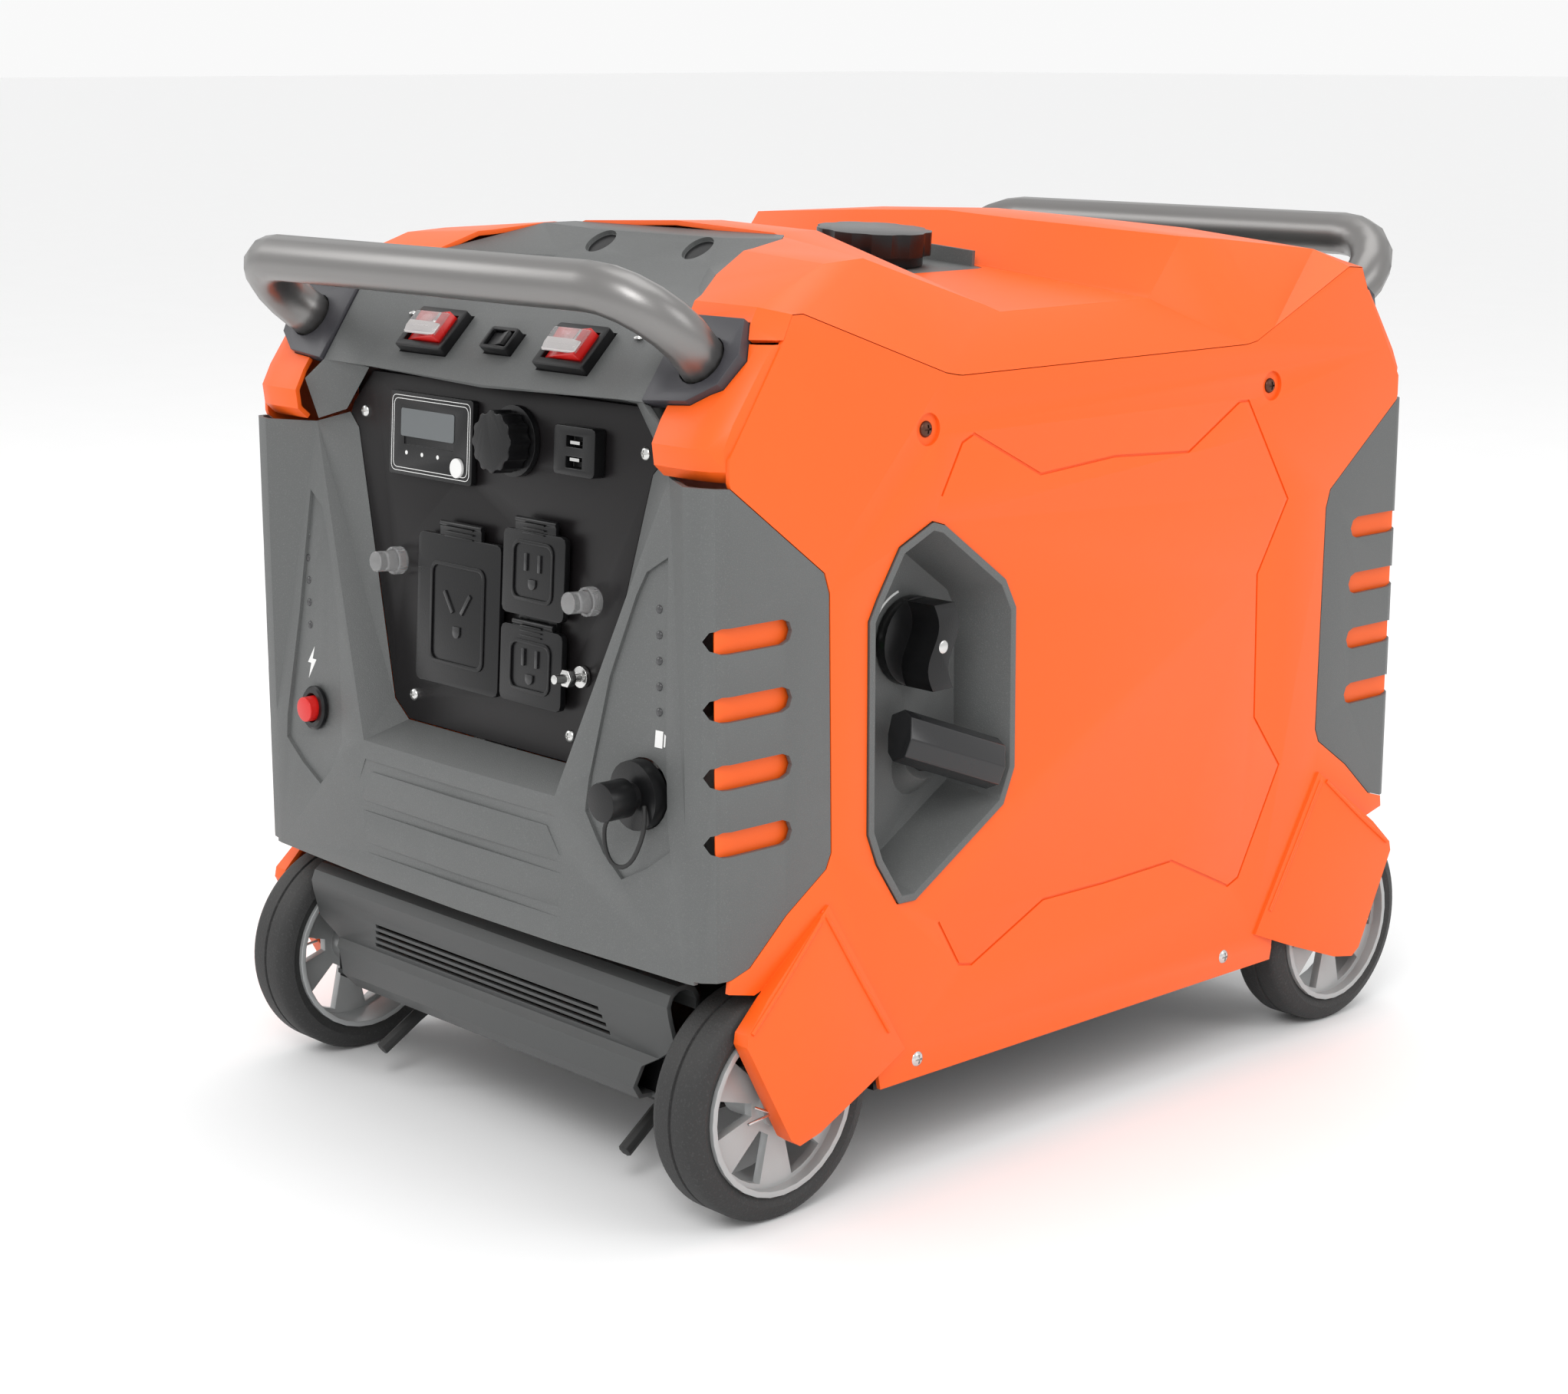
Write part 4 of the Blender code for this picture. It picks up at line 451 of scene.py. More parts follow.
def weld(item, flatten=False):
    """Join doubled points, turn the faces outward and, if asked, dissolve flat edges."""
    work = bmesh.new()
    work.from_mesh(item.data)
    bmesh.ops.remove_doubles(work, verts=work.verts, dist=MERGE)
    if flatten:
        bmesh.ops.dissolve_limit(work, angle_limit=radians(FLAT_ANGLE), verts=work.verts,
                                 edges=work.edges)
    bmesh.ops.recalc_face_normals(work, faces=work.faces)
    work.to_mesh(item.data)
    work.free()
    return item


def raised(name, outlines, back, front, face=PANEL_FACE, round_width=0.0, segments=2):
    """A slab standing out of a face from back to front, with rounded edges."""
    item = slab(name, outlines, "Y", -front, -back, face)
    if round_width > 0:
        item = soften(item, round_width, segments)
    return item


def prism(name, points, direction, low, high):
    """A closed prism of 3D points pushed both ways along a direction."""
    direction = Vector(direction).normalized()
    work = bmesh.new()
    lower = [work.verts.new(Vector(point) + direction * low) for point in points]
    upper = [work.verts.new(Vector(point) + direction * high) for point in points]
    work.faces.new(lower)
    work.faces.new(list(reversed(upper)))
    count = len(points)
    for index in range(count):
        after = (index + 1) % count
        work.faces.new((lower[after], lower[index], upper[index], upper[after]))
    bmesh.ops.recalc_face_normals(work, faces=work.faces)
    mesh = bpy.data.meshes.new(name)
    work.to_mesh(mesh)
    work.free()
    return new_piece(name, mesh)


def frame_along(location, direction, across=(0, 0, 1)):
    """A frame whose Z runs along a direction."""
    z = Vector(direction).normalized()
    x = Vector(across).cross(z)
    if x.length < 0.01:
        x = Vector((1, 0, 0)).cross(z)
    x.normalize()
    matrix = Matrix((x, z.cross(x), z)).transposed().to_4x4()
    matrix.translation = Vector(location)
    return matrix


def turned(name, profile, location, direction, steps=48, closed=False):
    """A profile of (radius, height) turned about a direction through a location."""
    mesh = bpy.data.meshes.new(name)
    edges = [(index, index + 1) for index in range(len(profile) - 1)]
    if closed:
        edges.append((len(profile) - 1, 0))
    mesh.from_pydata([(radius, 0, height) for radius, height in profile], edges, [])
    item = new_piece(name, mesh)
    screw = item.modifiers.new("turn", "SCREW")
    screw.angle = 2 * pi
    screw.steps = steps
    screw.render_steps = steps
    screw.use_merge_vertices = True
    screw.merge_threshold = MERGE
    item.matrix_world = frame_along(location, direction)
    item = weld(bake(item))
    return shade(item, 34.0)


def tube(name, points, radius, resolution=6):
    """A round bar along a list of points."""
    curve = bpy.data.curves.new(name, "CURVE")
    curve.dimensions = "3D"
    curve.bevel_depth = radius
    curve.bevel_resolution = resolution
    curve.use_fill_caps = True
    spline = curve.splines.new("POLY")
    spline.points.add(len(points) - 1)
    for target, point in zip(spline.points, points):
        target.co = (*point, 1)
    holder = bpy.data.objects.new(name, curve)
    bpy.context.scene.collection.objects.link(holder)
    return shade(weld(bake(holder)), 40.0)


def merged(name, items):
    """Several pieces as one object."""
    work = bmesh.new()
    for item in items:
        work.from_mesh(item.data)
        bpy.data.objects.remove(item, do_unlink=True)
    mesh = bpy.data.meshes.new(name)
    work.to_mesh(mesh)
    work.free()
    return new_piece(name, mesh)


def carve(item, tools, operation="DIFFERENCE", solver="EXACT"):
    """Cut or join tools and remove them."""
    for tool in tools:
        boolean = item.modifiers.new(tool.name, "BOOLEAN")
        boolean.operation = operation
        boolean.solver = solver
        boolean.object = tool
    result = bake(item)
    for tool in tools:
        bpy.data.objects.remove(tool, do_unlink=True)
    return result


def from_node(node):
    """A free copy of a frame node's mesh, welded."""
    mesh = NODES[node].data.copy()
    return weld(new_piece(f"{node}_look", mesh))


def rework(node, material, width, tools=(), segments=3, solver="MANIFOLD", joins=()):
    """Stand in for a frame node by its own shape with details cut and edges rounded."""
    item = from_node(node)
    if joins:
        item = carve(item, joins, "UNION", solver)
    if tools:
        item = carve(item, tools, "DIFFERENCE", solver)
    item = soften(item, width, segments)
    return attach(item, material, BODY_OF[node], (node,))


def local_box(node, face):
    """Lowest and highest corner of a frame node in the frame of a face."""
    back = face.inverted()
    points = [back @ vertex.co for vertex in NODES[node].data.vertices]
    low = Vector([min(point[axis] for point in points) for axis in range(3)])
    high = Vector([max(point[axis] for point in points) for axis in range(3)])
    return low, high


def drape(node, points, direction, reach=0.2):
    """Where lines through the points, against a direction, first meet a frame node."""
    tree = BVHTree.FromPolygons([vertex.co for vertex in NODES[node].data.vertices],
                                [face.vertices for face in NODES[node].data.polygons])
    direction = Vector(direction).normalized()
    hits = []
    for point in points:
        hit, normal, _, _ = tree.ray_cast(Vector(point) + direction * reach, -direction)
        if hit is None:
            raise ValueError(f"no surface of {node} under {tuple(point)}")
        hits.append(hit)
    return hits


def fine_steps(points, count=12):
    """A line of points with more points between each pair."""
    result = []
    for first, second in zip(points, points[1:]):
        result += [Vector(first).lerp(Vector(second), index / count) for index in range(count)]
    return result + [Vector(points[-1])]


def plate(name, outline, back, front, material, body=BASE, face=PANEL_FACE,
          round_width=0.0):
    """One outline standing on a face, finished and attached."""
    item = raised(name, [outline], back, front, face, round_width)
    return attach(shade(item, 30.0), material, body)


# ---- Outlines --------------------------------------------------------------------------
def arc(centre, radius, start, end, count):
    """Points along an arc, angles in degrees."""
    return [(centre[0] + radius * cos(radians(start + (end - start) * index / count)),
             centre[1] + radius * sin(radians(start + (end - start) * index / count)))
            for index in range(count + 1)]


def circle(centre, radius, count=32):
    """A closed round outline."""
    return arc(centre, radius, 0, 360 - 360 / count, count - 1)


def rectangle(left, right, low, high, corner=0.0, count=4):
    """A rectangle, with round corners when corner is given."""
    if corner <= 0:
        return [(left, low), (right, low), (right, high), (left, high)]
    points = arc((left + corner, low + corner), corner, 180, 270, count)
    points += arc((right - corner, low + corner), corner, 270, 360, count)
    points += arc((right - corner, high - corner), corner, 0, 90, count)
    return points + arc((left + corner, high - corner), corner, 90, 180, count)


def up_panel(z):
    """Distance up the panel face for a height above the ground."""
    return (z - 0.250) / PANEL_RISE


def band(points, width):
    """A closed outline that follows an open line of points at a width."""
    left, right = [], []
    for index, (x, y) in enumerate(points):
        before = Vector(points[max(index - 1, 0)])
        after = Vector(points[min(index + 1, len(points) - 1)])
        first = Vector((x, y)) - before if index else after - Vector((x, y))
        second = after - Vector((x, y)) if index < len(points) - 1 else first
        normal = (first.normalized() + second.normalized()).normalized()
        reach = width / 2 / max(0.5, normal.dot(first.normalized()))
        left.append((x - normal.y * reach, y + normal.x * reach))
        right.append((x + normal.y * reach, y - normal.x * reach))
    return left + list(reversed(right))


def on_column(x, z, side, face=UPPER):
    """The point of a front column's face at a width and height."""
    point, normal = face
    lean = normal.x * (abs(x) - point.x) + normal.z * (z - point.z)
    return Vector((side * abs(x), point.y - lean / normal.y, z))


def column_normal(side, face=UPPER):
    """Outward direction of a front column's face."""
    return Vector((side * face[1].x, face[1].y, face[1].z))


def dome(name, location, direction, radius, height, steps=24):
    """A low domed disc standing on a face."""
    profile = [(0.0, height)] + [(radius * sin(radians(angle)), height * cos(radians(angle)))
                                 for angle in (25, 50, 70, 85)] + [(radius, 0.0), (0.0, 0.0)]
    return turned(name, profile, location, direction, steps)


def screw(name, location, direction, radius=0.0042, material=None):
    """A pan-head screw with a cross recess, seated on a face."""
    head = dome(name, location, direction, radius, radius * 0.55)
    turn = frame_along(location, direction)
    arms = []
    for index in range(2):
        half = (radius * 0.55, radius * 0.13)
        across, up = half if index else (half[1], half[0])
        arm = slab(f"{name}_slot_{index}", [rectangle(-across, across, -up, up)], "Z",
                   radius * 0.25, radius, turn)
        arms.append(arm)
    head = carve(head, arms)
    shade(head, 34.0)
    return attach(head, material or bright_steel())


# ---- The covers ------------------------------------------------------------------------
POCKET_SHAPE = ((174, 386), (158, 376), (151, 362), (134, 314), (123, 255), (121, 235),
                (135, 213), (150, 200), (172, 211), (190, 224), (180, 306))
STAR_SHAPE = ((-138.3, 408.6), (-121.8, 438.1), (-112.1, 442.2), (-54.2, 413.1),
              (12.6, 417.5), (83.3, 413.7), (132.7, 441.1), (141.5, 440.7), (185.7, 373.4),
              (156.3, 327), (158.5, 231.6), (186.7, 195.1), (147.2, 125.2), (136.7, 121.3),
              (77.8, 149.8), (13, 148.3), (-44.4, 148.9), (-107.7, 121), (-118.9, 123.4),
              (-137, 153.4))
COVER_HOLES = ((-0.150, 0.448), (0.165, 0.4485))
SILL_SCREWS = ((-0.1536, 0.072), (0.135, 0.073))
HOLE_DEPTH = 0.0024
WELL_PLACES = ((-0.0457, -0.167), (0.0457, -0.167))
SIDE_X = 0.224
LINER_X = 0.2182
HOOD_WELL = 0.0026
PIN_SHARE = 0.990
HOOD_NORMAL = Vector((0.0, -0.563, 0.826)).normalized()
RIDGES = (((-233, 180), (-205, 135), (-180, 96)), ((-236, 176), (-270, 146), (-297, 124)))


def milli(points):
    """Points given in millimetres, in metres."""
    return [tuple(value / 1000 for value in point) for point in points]


def column_tools():
    """Cutters for the recesses and grooves of both front columns."""
    tools = []
    for side in (-1, 1):
        for index, face in enumerate((UPPER, LOWER)):
            outline = [on_column(x, z, side, face) for x, z in milli(POCKET_SHAPE)]
            tools.append(prism(f"pocket_{side}_{index}", outline, column_normal(side, face),
                               -sizes().pocket_depth, 0.012))
    return tools


def side_tools(side):
    """Cutters for the groove and the screw holes of a side cover."""
    line = milli(STAR_SHAPE)
    groove = slab(f"star_{side}", [band(line, sizes().groove_width)], "X",
                  side * (SIDE_X - 0.0011), side * (SIDE_X + 0.004))
    tools = [groove]
    for y, z in COVER_HOLES:
        tools.append(slab(f"hole_{side}_{y}", [circle((y, z), 0.0095)], "X",
                          side * (SIDE_X - HOLE_DEPTH), side * (SIDE_X + 0.006)))
    return tools


class GENERATOR_OT_covers(bpy.types.Operator):
    """Round, carve and finish the moulded covers"""

    bl_idname = "generator.covers"
    bl_label = "Covers"

    def execute(self, context):
        width = sizes().cover_round
        rework("front_fascia", grey_plastic(), width * 0.5, column_tools())
        rework("rear_fascia", grey_plastic(), width)
        wells = []
        for x, y in WELL_PLACES:
            seat = drape("console_hood", [(x, y, 0.5)], (0, 0, 1), 0.3)[0]
            wells.append(turned(f"hood_well_{x}", [(0, -HOOD_WELL), (0.0108, -HOOD_WELL),
                                                   (0.0108, 0.02), (0, 0.02)],
                                seat, HOOD_NORMAL, 40))
            # A black disc at the bottom of each well: painted shade that darkens the shallow recess
            # as if it were deep.
            floor = dome(f"hood_well_floor_{x}", seat - HOOD_NORMAL * (HOOD_WELL + 0.0001),
                         HOOD_NORMAL, 0.0104, 0.0005, 40)
            attach(floor, black_plastic())
        rework("console_hood", grey_plastic(), width * 0.4, wells)
        rework("starter_bezel", grey_plastic(), width * 0.7)
        rework("side_cover_right", orange_plastic(), width * 0.7,
               side_tools(1))
        rework("side_cover_left", orange_plastic(), width * 0.7,
               side_tools(-1))
        rework("top_cover", orange_plastic(), width)
        dark = finish("darkened steel", (0.10, 0.045, 0.03), 0.4, metallic=0.8, scale=600.0,
                      depth=0.1, rub=0.1, dust=0.0)
        self.fender_ridges()
        self.liners()
        for side in (-1, 1):
            for y, z in COVER_HOLES:
                screw(f"cover_screw_{side}_{y}", (side * (SIDE_X - HOLE_DEPTH), y, z),
                      (side, 0, 0), 0.0048, dark)
            for y, z in SILL_SCREWS:
                screw(f"sill_screw_{side}_{y}", (side * (SIDE_X - 0.001), y, z),
                      (side, 0, 0), 0.005)
        return {"FINISHED"}

    def fender_ridges(self):
        """Raised lines along the edges of the four wheel arches."""
        for side, label in ((-1, "left"), (1, "right")):
            for end in (-1, 1):
                for index, line in enumerate(RIDGES):
                    route = [(0.0, end * y, z) for y, z in milli(line)]
                    hits = drape(f"side_cover_{label}", fine_steps(route), (side, 0, 0), 0.3)
                    ridge = tube(f"ridge_{label}_{end}_{index}", hits, 0.0014, 3)
                    attach(ridge, orange_plastic())

    def liners(self):
        """Orange sheets behind the side vents of both end covers."""
        for side in (-1, 1):
            for end in (-1, 1):
                sheet = slab(f"vent_liner_{side}_{end}",
                             [rectangle(*sorted((end * 0.236, end * 0.309)), 0.216, 0.362)],
                             "X", side * LINER_X, side * (LINER_X + 0.001))
                attach(sheet, orange_plastic())


# ---- The chassis -----------------------------------------------------------------------
class GENERATOR_OT_chassis(bpy.types.Operator):
    """Finish the pan, skid, axles and hoses"""

    bl_idname = "generator.chassis"
    bl_label = "Chassis"

    def execute(self, context):
        rework("base_pan", black_plastic(), 0.0010)
        shield = finish("skid coat", (0.055, 0.057, 0.057), 0.46, scale=1200.0, depth=0.2,
                        rub=0.2, dust=0.05)
        rework("front_skid", shield, 0.0015)
        for node in ("front_axle", "rear_axle"):
            rework(node, bright_steel(), 0.0006)
        for node in ("drain_hose_left", "drain_hose_right"):
            rework(node, rubber(), 0.0004)
        return {"FINISHED"}


class GENERATOR_OT_wheels(bpy.types.Operator):
    """Turn smooth tyres and spoked rims"""

    bl_idname = "generator.wheels"
    bl_label = "Wheels"

    def execute(self, context):
        steps = sizes().round_steps
        tyre = finish("tyre rubber", colours().tyre, 0.68, scale=700.0, depth=0.5, rub=0.1,
                      dust=0.10, speckle=0.35, distance=0.0006)
        rim = finish("moulded rim", colours().rim, 0.34, metallic=0.25, scale=900.0,
                     depth=0.1, rub=0.05, dust=0.02)
        for corner in ("front_left", "front_right", "rear_left", "rear_right"):
            low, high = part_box(f"tyre_{corner}")
            low, high = Vector(low), Vector(high)
            middle = (low + high) / 2
            outer, half = (high.z - low.z) / 2, (high.x - low.x) / 2
            inner = 0.0545
            profile = [(inner, -half * 0.86), (outer - 0.010, -half), (outer - 0.005, -half * 0.93),
                       (outer - 0.0015, -half * 0.80), (outer, -half * 0.62),
                       (outer, -half * 0.07), (outer - 0.0012, -half * 0.04),
                       (outer - 0.0012, half * 0.04), (outer, half * 0.07),
                       (outer, half * 0.62), (outer - 0.0015, half * 0.80),
                       (outer - 0.005, half * 0.93), (outer - 0.010, half),
                       (inner, half * 0.86)]
            tread = turned(f"tread_{corner}", profile, middle, (1, 0, 0), steps, True)
            attach(tread, tyre, BODY_OF[f"tyre_{corner}"], (f"tyre_{corner}",))
            rework(f"rim_{corner}", rim, 0.0006)
            self.cotter_pin(corner)
        return {"FINISHED"}

    def cotter_pin(self, corner):
        """Split pin through the end of an axle, with its two prongs spread."""
        low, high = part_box("front_axle" if "front" in corner else "rear_axle")
        end = -1 if "front" in corner else 1
        x = (high[0] if "right" in corner else low[0]) * PIN_SHARE
        y, z = (low[1] + high[1]) / 2, (low[2] + high[2]) / 2
        start, split = (x, y - end * 0.0090, z - 0.001), (x, y + end * 0.0115, z - 0.001)
        prongs = [tube(f"prong_{index}", [start, split, tip], 0.0009, 3)
                  for index, tip in enumerate(((x, y + end * 0.0255, z + 0.006),
                                               (x, y + end * 0.0300, z - 0.003)))]
        attach(shade(merged(f"cotter_pin_{corner}", prongs), 40.0), bright_steel())


# ---- The handles -----------------------------------------------------------------------
class GENERATOR_OT_handles(bpy.types.Operator):
    """Smooth the lifting handles and their foot plates"""

    bl_idname = "generator.handles"
    bl_label = "Handles"

    def execute(self, context):
        metal = finish("handle coat", colours().tube, 0.34, metallic=0.85, scale=1500.0,
                       depth=0.10, rub=0.10, dust=0.02, spread=0.05)
        for end in ("front", "rear"):
            item = shade(from_node(f"{end}_handle"), 50.0)
            attach(item, metal, BASE, (f"{end}_handle",))
            rework(f"{end}_handle_mount", slate_plastic(), 0.0014)
        return {"FINISHED"}


# ---- The panel -------------------------------------------------------------------------
class GENERATOR_OT_panel(bpy.types.Operator):
    """Finish the control panel's outlets, display, breakers and screws"""

    bl_idname = "generator.panel"
    bl_label = "Panel"

    def execute(self, context):
        small = sizes().small_round
        label = finish("panel film", (0.0080, 0.0070, 0.0075), 0.34, scale=1300.0, depth=0.10,
                       rub=0.1, dust=0.0, gloss=0.22)
        rework("control_panel", label, small)
        for node in ("display_module", "parallel_socket", "rv_outlet", "duplex_outlet",
                     "usb_socket", "rv_flap", "duplex_flap_upper", "duplex_flap_lower",
                     "parallel_cap"):
            rework(node, black_plastic(), small)
        for node in ("breaker_left", "breaker_right"):
            rework(node, clear_plastic(), small)
        rework("ground_terminal", bright_steel(), small * 0.5)
        rework("display_button", marking(), small)
        # A black sheet behind the panel's top edge: painted shade that fills the see-through gap
        # between the panel and the cover.
        plate("panel_backing", rectangle(-0.150, 0.150, 0.188, 0.234), -0.0056, -0.0046,
              black_plastic())
        self.display()
        self.outlets()
        self.breaker_rings()
        self.ports()
        normal = (PANEL_FACE.to_3x3() @ Vector((0, -1, 0))).normalized()
        for x, z in ((-0.1355, 0.438), (0.1355, 0.438), (-0.077, 0.267), (0.077, 0.267)):
            place = PANEL_FACE @ Vector((x, 0, up_panel(z)))
            screw(f"panel_screw_{x}_{z}", place, normal, 0.0040)
        return {"FINISHED"}

    def display(self):
        """Printed double frame, grey window and three small signs of the display."""
        low, high = local_box("display_module", PANEL_FACE)
        front = -low.y
        for index, gap in enumerate((0.0022, 0.0042)):
            outer = rectangle(low.x + gap, high.x - gap, low.z + gap, high.z - gap, 0.004)
            inner = rectangle(low.x + gap + LINE, high.x - gap - LINE, low.z + gap + LINE,
                              high.z - gap - LINE, 0.0035)
            item = raised(f"display_line_{index}", [outer, inner], front - INK_BACK,
                          front + INK_FRONT)
            attach(item, marking())
        window = finish("display window", (0.12, 0.13, 0.135), 0.16, scale=200.0, depth=0.01,
                        tone=0.10, rub=0.0, dust=0.0)
        plate("display_window", rectangle(low.x + 0.012, high.x - 0.018, low.z + 0.024,
                                          high.z - 0.010, 0.0015),
              front - 0.0002, front + 0.0003, window)
        for index in range(3):
            x = low.x + 0.018 + index * 0.016
            plate(f"display_sign_{index}", circle((x, low.z + 0.014), 0.0013, 12),
                  front - INK_BACK, front + INK_FRONT, marking())

    def outlets(self):
        """Embossed outlet patterns, raised frames and tab ridges on the three flaps."""
        for node, tilt in (("rv_flap", 35.0), ("duplex_flap_upper", 0.0),
                           ("duplex_flap_lower", 0.0)):
            low, high = local_box(node, PANEL_FACE)
            front, body = -low.y, BODY_OF[node]
            middle = (low.x + high.x) / 2
            height = high.z - low.z
            centre = low.z + height * (0.44 if tilt else 0.46)
            reach = (high.x - low.x) / 2
            pad = rectangle(middle - reach * 0.66, middle + reach * 0.66,
                            centre - height * 0.31, centre + height * 0.31, 0.006)
            inner = rectangle(middle - reach * 0.60, middle + reach * 0.60,
                              centre - height * 0.31 + 0.0022, centre + height * 0.31 - 0.0022,
                              0.005)
            rim = raised(f"{node}_rim", [pad, inner], front - 0.0003, front + 0.0011,
                         round_width=0.0003)
            attach(rim, black_plastic(), body)
            size = 0.0075 if tilt else 0.0052
            spread = 0.0085 if tilt else 0.00635
            parts = []
            for side in (-1, 1):
                turn = radians(side * tilt)
                along = (sin(turn), cos(turn))
                at = (middle + side * spread, centre + size)
                line = [(at[0] - along[0] * size, at[1] - along[1] * size),
                        (at[0] + along[0] * size, at[1] + along[1] * size)]
                parts.append(raised(f"{node}_blade_{side}", [band(line, 0.0026)],
                                    front - 0.0003, front + 0.0012, round_width=0.0003))
            parts.append(raised(f"{node}_earth",
                                [arc((middle, centre - size * 1.4), 0.0034, 180, 360, 12)
                                 + [(middle + 0.0034, centre - size * 0.9),
                                    (middle - 0.0034, centre - size * 0.9)]],
                                front - 0.0003, front + 0.0012, round_width=0.0003))
            attach(shade(merged(f"{node}_pattern", parts), 30.0), glossy_black(),
                   body)
            for index in range(3):
                z = high.z - 0.003 - index * 0.0028
                plate(f"{node}_grip_{index}", rectangle(middle - reach * 0.34,
                                                        middle + reach * 0.34, z - 0.0008, z),
                      front - 0.0003, front + 0.0010, black_plastic(), body,
                      round_width=0.0002)

    def breaker_rings(self):
        """Knurled clear rings that the breaker caps stand in."""
        normal = (PANEL_FACE.to_3x3() @ Vector((0, -1, 0))).normalized()
        for node in ("breaker_left", "breaker_right"):
            low, high = local_box(node, PANEL_FACE)
            x, z = (low.x + high.x) / 2, (low.z + high.z) / 2
            teeth = 28
            outline = [(x + (0.0088 if index % 2 else 0.0082) * cos(pi * index / teeth),
                        z + (0.0088 if index % 2 else 0.0082) * sin(pi * index / teeth))
                       for index in range(2 * teeth)]
            bore = circle((x, z), (high.x - low.x) / 2 + 0.0004, 40)
            ring = raised(f"{node}_ring", [outline, bore], -0.0002, 0.0065,
                          round_width=0.0003)
            attach(ring, clear_plastic())

    def ports(self):
        """Bright tongues in the two ports."""
        low, high = local_box("usb_socket", PANEL_FACE)
        middle = (low.x + high.x) / 2
        for index, share in enumerate((0.33, 0.67)):
            z = low.z + (high.z - low.z) * share
            plate(f"usb_tongue_{index}", rectangle(middle - 0.0042, middle + 0.0042, z - 0.0009,
                                                   z + 0.0009),
                  -low.y - 0.0050, -low.y - 0.0008, bright_steel())


# ---- The console -----------------------------------------------------------------------
class GENERATOR_OT_console(bpy.types.Operator):
    """Finish the rocker switches under the hood"""

    bl_idname = "generator.console"
    bl_label = "Console"

    def execute(self, context):
        small = sizes().small_round
        for node in ("engine_switch", "start_switch", "eco_switch"):
            rework(node, black_plastic(), small)
        for node in ("engine_rocker", "start_rocker"):
            rework(node, red_plastic(), small)
            self.rocker_cover(node)
        rework("eco_rocker", black_plastic(), small)
        for x in (-0.108, 0.108):
            place = drape("console_hood", [(x, -0.266, 0.5)], (0, 0, 1), 0.3)[0]
            screw(f"console_screw_{x}", place, (0, 0, 1), 0.0036)
        return {"FINISHED"}

    def rocker_cover(self, node):
        """White lower half and clear faceted boot over a rocker."""
        low, high = local_box(node, CONSOLE_FACE)
        body = BODY_OF[node]
        middle = (low.z + high.z) / 2
        white = finish("white rocker", (0.80, 0.76, 0.75), 0.30, scale=500.0, depth=0.03,
                       rub=0.0, dust=0.0)
        plate(f"{node}_white", rectangle(low.x + 0.002, high.x - 0.002, low.z + 0.0015,
                                         middle - 0.0005, 0.001),
              -low.y - 0.0012, -low.y + 0.0004, white, body, CONSOLE_FACE,
              0.0003)
        mesh = bpy.data.meshes.new(f"{node}_boot")
        base, top = -low.y - 0.0012, -low.y + 0.0032
        ring = rectangle(low.x + 0.0008, high.x - 0.0008, low.z + 0.0008, high.z - 0.0008)
        crown = rectangle(low.x + 0.005, high.x - 0.005, low.z + 0.004, high.z - 0.004)
        points = [CONSOLE_FACE @ Vector((x, -base, z)) for x, z in ring]
        points += [CONSOLE_FACE @ Vector((x, -top, z)) for x, z in crown]
        faces = [(index, (index + 1) % 4, (index + 1) % 4 + 4, index + 4) for index in range(4)]
        mesh.from_pydata(points, [], faces + [(4, 5, 6, 7), (3, 2, 1, 0)])
        boot = soften(weld(new_piece(f"{node}_boot", mesh)), 0.0008, 3)
        attach(boot, clear_plastic(), body)


# ---- The columns and the starter -------------------------------------------------------
SIGNS = (("bolt", -1, (((-163, 287), (-170, 276), (-166, 276), (-168, 266), (-160, 279),
                       (-164.5, 279)),)),
         ("pump", 1, (((171.5, 280), (177.5, 280), (177.5, 289.5), (171.5, 289.5)),
                      ((178.6, 281), (179.8, 281), (179.8, 287.5), (178.6, 288.3)))))
LAMP_ROWS = {1: ((167.7, 356.5), (169.1, 342.3), (170.5, 328), (171.9, 313.8), (173.3, 299.8)),
             -1: ((178, 356), (176.6, 342), (174, 328), (172, 314), (169.5, 300))}


class GENERATOR_OT_columns(bpy.types.Operator):
    """Place the lamps and finish the gas inlet, its cap and the reset button"""

    bl_idname = "generator.columns"
    bl_label = "Columns"

    def execute(self, context):
        small = sizes().small_round
        lens = finish("lamp lens", (0.05, 0.05, 0.052), 0.18, scale=500.0, depth=0.03,
                      rub=0.0, dust=0.0)
        for side, row in LAMP_ROWS.items():
            for index, (x, z) in enumerate(milli(row)):
                normal = column_normal(side)
                seat = on_column(x, z, side) - normal * (sizes().pocket_depth + 0.0002)
                lamp = dome(f"lamp_{side}_{index}", seat, normal, 0.0025, 0.0014)
                attach(lamp, lens)
        rework("gas_inlet", black_plastic(), small)
        rework("gas_cap", black_plastic(), small)
        rework("reset_button", red_plastic(), small)
        self.signs()
        ring = turned("reset_ring", [(0.0088, -0.001), (0.0140, -0.001), (0.0140, 0.0012),
                                     (0.0125, 0.0026), (0.0095, 0.0026), (0.0088, 0.0014)],
                      on_column(-0.155, 0.249, -1), column_normal(-1), 48, True)
        attach(ring, black_plastic())
        tether = shade(from_node("cap_tether"), 40.0)
        tether.data.materials.clear()
        tether.data.materials.append(rubber())
        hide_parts("cap_tether")
        low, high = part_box("cap_tether")
        x, z = (low[0] + high[0]) / 2, high[2]
        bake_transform(tether)
        return {"FINISHED"}


    def signs(self):
        """Printed bolt and pump signs at the foot of the lamp rows."""
        for name, side, outlines in SIGNS:
            normal = column_normal(side)
            for index, outline in enumerate(outlines):
                points = [on_column(x, z, side) for x, z in milli(outline)]
                sign = prism(f"{name}_{index}", points, normal,
                             -sizes().pocket_depth - INK_BACK, -sizes().pocket_depth + INK_FRONT)
                attach(sign, marking())


